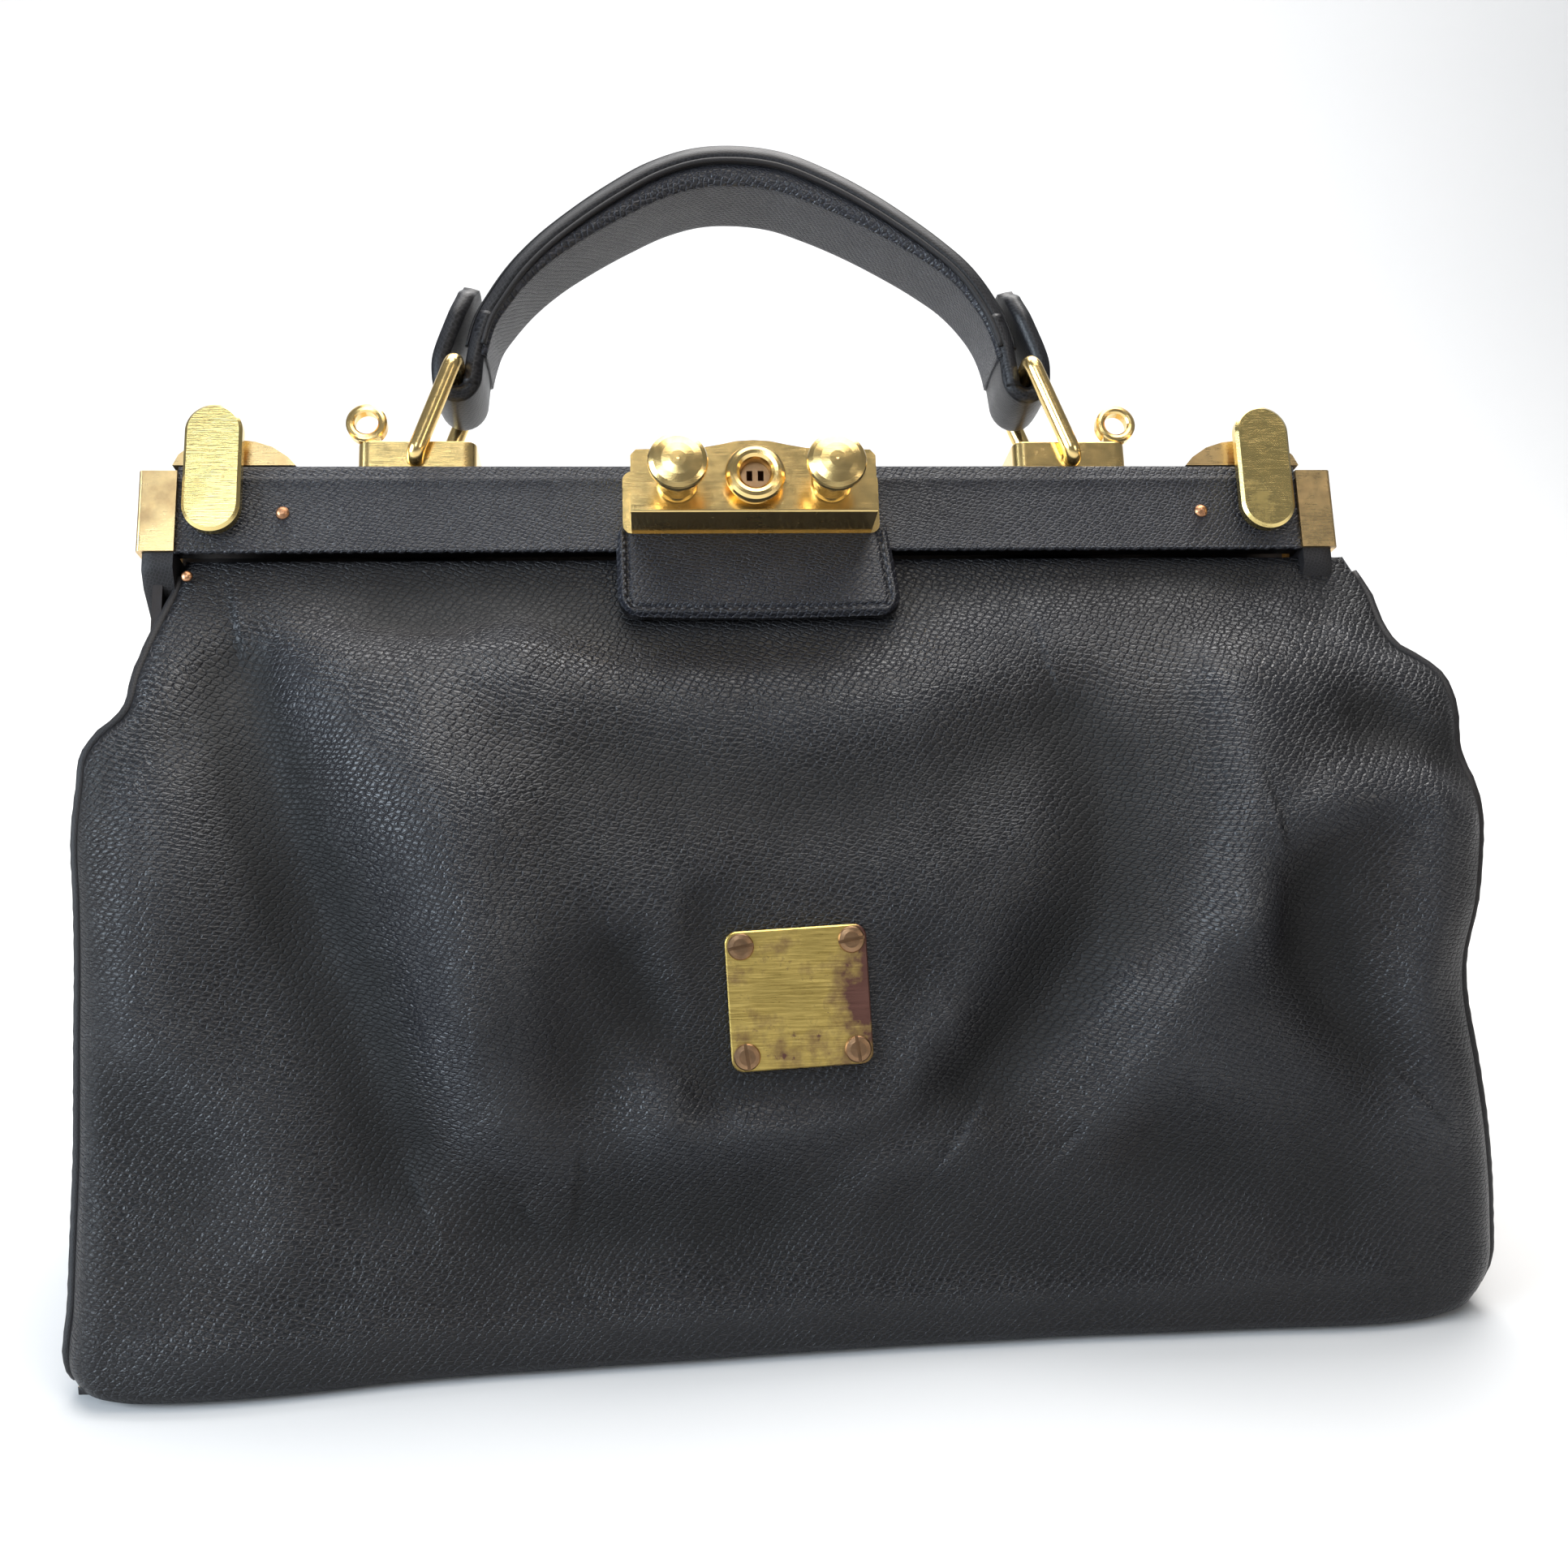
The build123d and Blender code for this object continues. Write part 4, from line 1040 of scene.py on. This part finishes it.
# underside strap, grained, a little narrower, and the ridge where the two meet
T_ = np.gradient(cl, axis=0)
T_ /= np.linalg.norm(T_, axis=1, keepdims=True)
N_ = np.stack([-T_[:, 1], T_[:, 0]], -1)
bmp = np.sin(math.pi * tt_) ** 2.2
under = strap("handle_under", (cl - N_ * (1.7 + 3.8 * bmp[:, None]))[6:-6], 23.6, 2.4, 0.3, 0.0, [M_BAND], taper=tap[6:-6], uvo=0.4, tk=(1.0 + 2.1 * bmp)[6:-6])


def edge_path(off_y, off_n, a=3, b=-3):
    p = cl + N_ * (off_n * (0.8 + 0.3 * np.sin(math.pi * tt_))[:, None])
    return np.array([lw((p[i, 0], 9.0 + off_y * tap[i], p[i, 1])) for i in range(len(cl))])[a:b]


# welts along both edges between the straps, and the raised seam on the outer face
welt = []
for nm, oy, on in (("handle_welt_front", -12.2, -1.9), ("handle_welt_rear", 12.2, -1.9)):
    pth = edge_path(oy, on, 8, -8)
    welt.append(tube(nm, pth, 0.95, 0.8, l2w((0, -1, 0)) - l2w((0, 0, 0)), [M_EDGE], seg=8))
rid = edge_path(-8.6, 3.75, 8, -8)
ridge_o = tube("handle_seam_ridge", rid, 0.85, 0.55, l2w((0, -1, 0)) - l2w((0, 0, 0)), [M_HANDLE], seg=8)
rid2 = edge_path(8.6, 3.75, 8, -8)
ridge_o2 = tube("handle_seam_ridge_rear", rid2, 0.85, 0.55, l2w((0, -1, 0)) - l2w((0, 0, 0)), [M_HANDLE], seg=8)


def end_fold(name, side):
    """The strap turned round the ring rod: a bulb below, and its end standing up outside as a pointed tab."""
    cx, cz = 79.4, 109.0
    pts = []
    # inner side going down, round the rod, up the outer side to the tab
    for z, q in ((126, -8.4), (120, -6.6), (114, -5.2)):
        pts.append((cx + q, z))
    for th in np.linspace(0, math.pi, 15):
        pts.append((cx - 4.6 * math.cos(th), cz - 5.6 * math.sin(th) - 1.2))
    for z, dx in ((112, 4.6), (116, 3.6), (120, 2.2), (125, 0.4), (130.5, -1.5), (137.0, -3.2)):
        pts.append((cx + dx, z))
    pts = resample(pts, 60)
    pts = pts * np.array([side, 1.0])
    t = np.linspace(0, 1, 60)
    tp = np.ones(60) * 0.97
    tp *= 1 - 0.30 * smooth(0.80, 1.0, t) - 0.62 * smooth(0.93, 1.0, t) * 0.6
    tp *= 1 - 0.08 * np.exp(-((t - 0.45) / 0.2) ** 2)
    ob = strap(name, pts if side < 0 else pts[::-1], 24.0, 4.4, 0.5, 0.0, [M_HANDLE], taper=tp if side < 0 else tp[::-1], uvo=0.6 + side * 0.1)
    return ob


fold_l = end_fold("handle_fold_left", -1)
fold_r = end_fold("handle_fold_right", 1)


# ------------------------------------------------------------------ small things
def rivet(name, c, nrm, r, h, mat):
    """A domed rivet head. c, nrm in row mm."""
    nrm = np.asarray(nrm, float)
    nrm /= np.linalg.norm(nrm)
    a = np.cross(nrm, (0, 0, 1.0))
    a /= np.linalg.norm(a)
    b = np.cross(nrm, a)
    V, F = [], []
    rings, seg = 7, 24
    for i in range(rings):
        q = i / (rings - 1) * math.pi / 2
        for s in range(seg):
            th = 2 * math.pi * s / seg
            V.append(np.asarray(c) + (a * math.cos(th) + b * math.sin(th)) * r * math.cos(q) + nrm * h * math.sin(q))
    for i in range(rings - 1):
        for s in range(seg):
            t = (s + 1) % seg
            F.append((i * seg + s, i * seg + t, (i + 1) * seg + t, (i + 1) * seg + s))
    F.append(tuple(range(seg))[::-1])
    ob = new_obj(name, V, F, [mat])
    fix_normals(ob)
    box_uv(ob)
    return ob


# end faces of the frame below the caps: leather folded over the arms on either side
def arm_leather(name, side):
    bm = bmesh.new()
    pts = [(-10.2, 53.5), (-10.2, 48.5), (-7.0, 44.0), (2.0, 37.5), (9.0, 35.5), (14.5, 38.0), (15.0, 52.5)]
    x0, x1 = side * 150.5, side * 158.6
    rows = []
    for x in (x0, x1 - side * 1.2, x1):
        f = 1.0 if x != x1 else 0.93
        cy = sum(p[0] for p in pts) / len(pts)
        cz = sum(p[1] for p in pts) / len(pts)
        rows.append([bm.verts.new((x - side * (0.0), cy + (p[0] - cy) * f, cz + (p[1] - cz) * f)) for p in pts])
    for a, b in zip(rows[:-1], rows[1:]):
        for i in range(len(pts)):
            j = (i + 1) % len(pts)
            bm.faces.new((a[i], a[j], b[j], b[i]))
    bm.faces.new(rows[0][::-1])
    bm.faces.new(rows[-1])
    bmesh.ops.recalc_face_normals(bm, faces=bm.faces)
    bmesh.ops.subdivide_edges(bm, edges=bm.edges[:], cuts=2, use_grid_fill=True)
    ob = bm_obj(name, bm, [M_EDGE])
    auto_smooth(ob, 40)
    return ob


arm_l, arm_r = arm_leather("arm_cover_left", -1), arm_leather("arm_cover_right", 1)
rv_l = rivet("arm_rivet_left", l2w((-147.0, -9.0, 46.5)), l2w((0, -1, 0)) - l2w((0, 0, 0)), 1.5, 1.0, M_COPPER)

# ------------------------------------------------------------------ plate marks and plate material
def plate_material():
    m, nt, bs = mat_new("plate_brass")
    tc = N(nt, "ShaderNodeTexCoord")
    sep = N(nt, "ShaderNodeSeparateXYZ")
    nt.links.new(tc.outputs["Object"], sep.inputs[0])
    mp = N(nt, "ShaderNodeMapping")
    mp.inputs["Scale"].default_value = (0.9, 1.0, 26.0)
    nt.links.new(tc.outputs["Object"], mp.inputs["Vector"])
    br_ = N(nt, "ShaderNodeTexNoise", in_Scale=120.0, in_Detail=4.0, in_Roughness=0.7)
    nt.links.new(mp.outputs[0], br_.inputs["Vector"])
    n1 = N(nt, "ShaderNodeTexNoise", in_Scale=85.0, in_Detail=6.0, in_Roughness=0.6)
    nt.links.new(tc.outputs["Object"], n1.inputs["Vector"])
    n2 = N(nt, "ShaderNodeTexNoise", in_Scale=420.0, in_Detail=4.0, in_Roughness=0.7)
    nt.links.new(tc.outputs["Object"], n2.inputs["Vector"])
    # tarnish grows towards the right edge, the top right corner and the lower left corner
    right = map_range(nt, sep.outputs[0], 0.0125, 0.0235, 0.0, 1.0)
    low = map_range(nt, sep.outputs[2], 0.0815, 0.0745, 0.0, 0.8)
    left = map_range(nt, sep.outputs[0], -0.0055, -0.0115, 0.0, 0.8)
    base = math_n(nt, "MAXIMUM", right, math_n(nt, "MAXIMUM", math_n(nt, "MULTIPLY", low, 0.6), math_n(nt, "MULTIPLY", left, 0.35)))
    f = math_n(nt, "ADD", math_n(nt, "MULTIPLY", base, 0.62), map_range(nt, n1.outputs["Fac"], 0.42, 0.72, -0.12, 0.5), clamp=True)
    f = math_n(nt, "ADD", f, map_range(nt, n2.outputs["Fac"], 0.6, 0.75, 0.0, 0.30), clamp=True)
    gold = mix_col(nt, map_range(nt, br_.outputs["Fac"], 0.35, 0.65, 0.0, 1.0), (0.60, 0.42, 0.115, 1), (0.78, 0.58, 0.18, 1))
    col = mix_col(nt, map_range(nt, f, 0.2, 0.62, 0.0, 1.0), gold, (0.155, 0.075, 0.06, 1))
    nt.links.new(col, bs.inputs["Base Color"])
    bs.inputs["Metallic"].default_value = 1.0
    nt.links.new(math_n(nt, "ADD", map_range(nt, br_.outputs["Fac"], 0.3, 0.7, 0.26, 0.4), math_n(nt, "MULTIPLY", f, 0.18)), bs.inputs["Roughness"])
    bp = N(nt, "ShaderNodeBump")
    bp.inputs["Strength"].default_value = 0.45
    bp.inputs["Distance"].default_value = 0.00008
    nt.links.new(math_n(nt, "ADD", br_.outputs["Fac"], math_n(nt, "MULTIPLY", n2.outputs["Fac"], 0.5)), bp.inputs["Height"])
    nt.links.new(bp.outputs[0], bs.inputs["Normal"])
    return m


M_PLATE = plate_material()

# ------------------------------------------------------------------ CAD nodes: materials and shading
CADMAT = {
    # the frames take the black material, partly painted shade for the recess under the band
    "front_frame": M_BLACKMETAL, "rear_frame": M_BLACKMETAL, "hinge_pin_left": M_STEEL, "hinge_pin_right": M_STEEL,
    "front_cap_left": M_CAP, "front_cap_right": M_CAP, "rear_cap_left": M_CAP, "rear_cap_right": M_CAP,
    "band_rivets": M_COPPER, "clip_base_left": M_CAP, "clip_base_right": M_CAP, "clip_pin_left": M_STEEL, "clip_pin_right": M_STEEL,
    "clip_lever_left": M_CLIP, "clip_lever_right": M_CLIP, "lock_backplate": M_BRASS, "lock_case": M_BRASS, "keyhole_ring": M_BRASS,
    # key_plug takes the darkened brass, partly painted shade for its recess
    "key_plug": M_DULL, "knob_left": M_BRASS, "knob_right": M_BRASS, "lock_bolt_left": M_STEEL, "lock_bolt_right": M_STEEL,
    "bolt_spring_left": M_STEEL, "bolt_spring_right": M_STEEL, "lock_keeper": M_STEEL,
    "handle_block_left": M_BRASS, "handle_block_right": M_BRASS, "strap_eyelet_left": M_BRASS, "strap_eyelet_right": M_BRASS,
    "handle_ring_left": M_BRASS, "handle_ring_right": M_BRASS, "base_board": M_LINING, "name_plate": M_PLATE,
    "plate_screws": M_SCREW, "plate_nuts": M_SCREW,
}
for nm, mt in CADMAT.items():
    ob = NODES[nm]
    ob.data.materials.clear()
    ob.data.materials.append(mt)
    ob.data.polygons.foreach_set("material_index", np.zeros(len(ob.data.polygons), np.int32))
    if not ob.data.uv_layers.get("grain") and mt is M_LINING:
        box_uv(ob)

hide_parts("front_panel_lower", "front_panel_upper")
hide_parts("rear_panel")
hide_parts("gusset_left")
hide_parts("gusset_right")
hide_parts("base_leather")
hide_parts("lining")
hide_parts("front_band_leather")
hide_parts("rear_band_leather")
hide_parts("lock_tab")
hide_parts("handle_leather")

def coil(name, k):
    """Return spring of a lock bolt: a wound wire."""
    n, turns = 420, 11
    t = np.linspace(0, 1, n)
    th = 2 * math.pi * turns * t
    x = 17.35 + (30.65 - 17.35) * (t - 0.02 * np.sin(2 * math.pi * t))
    pts = np.stack([k * x, -19.0 + 1.6 * np.cos(th), 65.0 + 1.6 * np.sin(th)], -1)
    return tube(name, l2w(pts), 0.28, 0.28, (1, 0, 0), [M_STEEL], seg=8)


spr_l, spr_r = coil("spring_coil_left", -1), coil("spring_coil_right", 1)
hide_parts("bolt_spring_left")
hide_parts("bolt_spring_right")

# ------------------------------------------------------------------ what each piece moves with
for ob in (front, gus_l, gus_r, seam_fl, seam_fr, lin):
    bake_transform(ob)
for ob in (rear, bot, br, seam_rl, seam_rr):
    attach(ob, "bag")
for ob in (bf, edge_line, tab_o, tab_st, arm_l, arm_r, rv_l):
    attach(ob, "front_half")
for ob in [grip, under, ridge_o, ridge_o2, fold_l, fold_r] + welt:
    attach(ob, "handle")
for ob, k, jn in ((spr_l, -1, "bolt_left_slide"), (spr_r, 1, "bolt_right_slide")):
    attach(ob, "front_half")
    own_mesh(ob)

# ------------------------------------------------------------------ floor, light, camera
def floor():
    """A pale floor that sweeps up behind."""
    prof = [(-4.0, 0.0), (-2.0, 0.0), (0.0, 0.0), (1.0, 0.0), (1.5, 0.0)]
    prof += [(1.5 + 0.8 * math.sin(t), 0.8 - 0.8 * math.cos(t)) for t in np.linspace(0.1, math.pi / 2, 14)]
    prof += [(2.3, 1.6), (2.3, 3.2)]
    xs = np.linspace(-4.0, 4.0, 17)
    V = [(x * 1000, y * 1000, z * 1000 - 0.4) for x in xs for y, z in prof]
    k = len(prof)
    F = [(i * k + j, (i + 1) * k + j, (i + 1) * k + j + 1, i * k + j + 1) for i in range(len(xs) - 1) for j in range(k - 1)]
    m, nt, bs = mat_new("floor_pale")
    bs.inputs["Base Color"].default_value = (0.62, 0.62, 0.62, 1)
    bs.inputs["Roughness"].default_value = 0.9
    bs.inputs["Specular IOR Level"].default_value = 0.1
    ob = new_obj("floor", V, F, [m])
    return ob


floor()


def area(name, loc, target, size, power, color, sy=None):
    d = bpy.data.lights.new(name, "AREA")
    d.energy = power
    d.color = color
    d.shape = "RECTANGLE"
    d.size = size
    d.size_y = sy or size
    o = bpy.data.objects.new(name, d)
    bpy.context.scene.collection.objects.link(o)
    o.location = loc
    o.rotation_mode = "QUATERNION"
    o.rotation_quaternion = (Vector(target) - Vector(loc)).to_track_quat("-Z", "Y")
    return o


area("key_window", (-1.25, -0.62, 0.55), (0, 0, 0.12), 0.85, 26.0, (0.76, 0.88, 1.0), 0.75)
area("front_high", (-0.35, -1.15, 1.05), (0, 0, 0.14), 0.45, 5.0, (0.80, 0.90, 1.0))
area("fill_room", (1.15, -1.2, 0.75), (0, 0, 0.12), 0.5, 4.0, (1.0, 0.93, 0.84))
area("top_room", (0.1, -0.25, 1.45), (0, 0.0, 0.18), 0.9, 11.0, (1.0, 0.94, 0.87))
area("rear_room", (0.3, 0.9, 1.5), (0, 0.0, 0.18), 1.0, 12.0, (1.0, 0.96, 0.92))
area("back_sweep", (0.0, 1.1, 2.3), (0, 2.3, 0.6), 2.2, 95.0, (1.0, 1.0, 1.0))

w = bpy.data.worlds.new("studio")
w.use_nodes = True
bpy.context.scene.world = w
bg = w.node_tree.nodes["Background"]
bg.inputs[0].default_value = (0.93, 0.95, 1.0, 1)
bg.inputs[1].default_value = 0.22

sc = bpy.context.scene
sc.view_settings.view_transform = "Standard"
sc.view_settings.look = "None"
sc.view_settings.exposure = 0.0

cam = bpy.data.cameras.new("photo_camera")
cam.sensor_width = 36.0
cam.lens = 36.0 * 2100.0 / 1932.0
co = bpy.data.objects.new("photo_camera", cam)
sc.collection.objects.link(co)
PITCH, YAW, ROLL = math.radians(13.2), math.radians(4.6), math.radians(-0.2)
fwd = Vector((math.sin(YAW) * math.cos(PITCH), math.cos(YAW) * math.cos(PITCH), -math.sin(PITCH)))
co.location = (-0.028, -0.457, 0.236)
q = fwd.to_track_quat("-Z", "Y")
co.rotation_mode = "QUATERNION"
from mathutils import Quaternion
co.rotation_quaternion = q @ Quaternion((0, 0, 1), -ROLL)
cam.clip_start = 0.02
cam.clip_end = 50.0
sc.camera = co

bpy.context.view_layer.update()
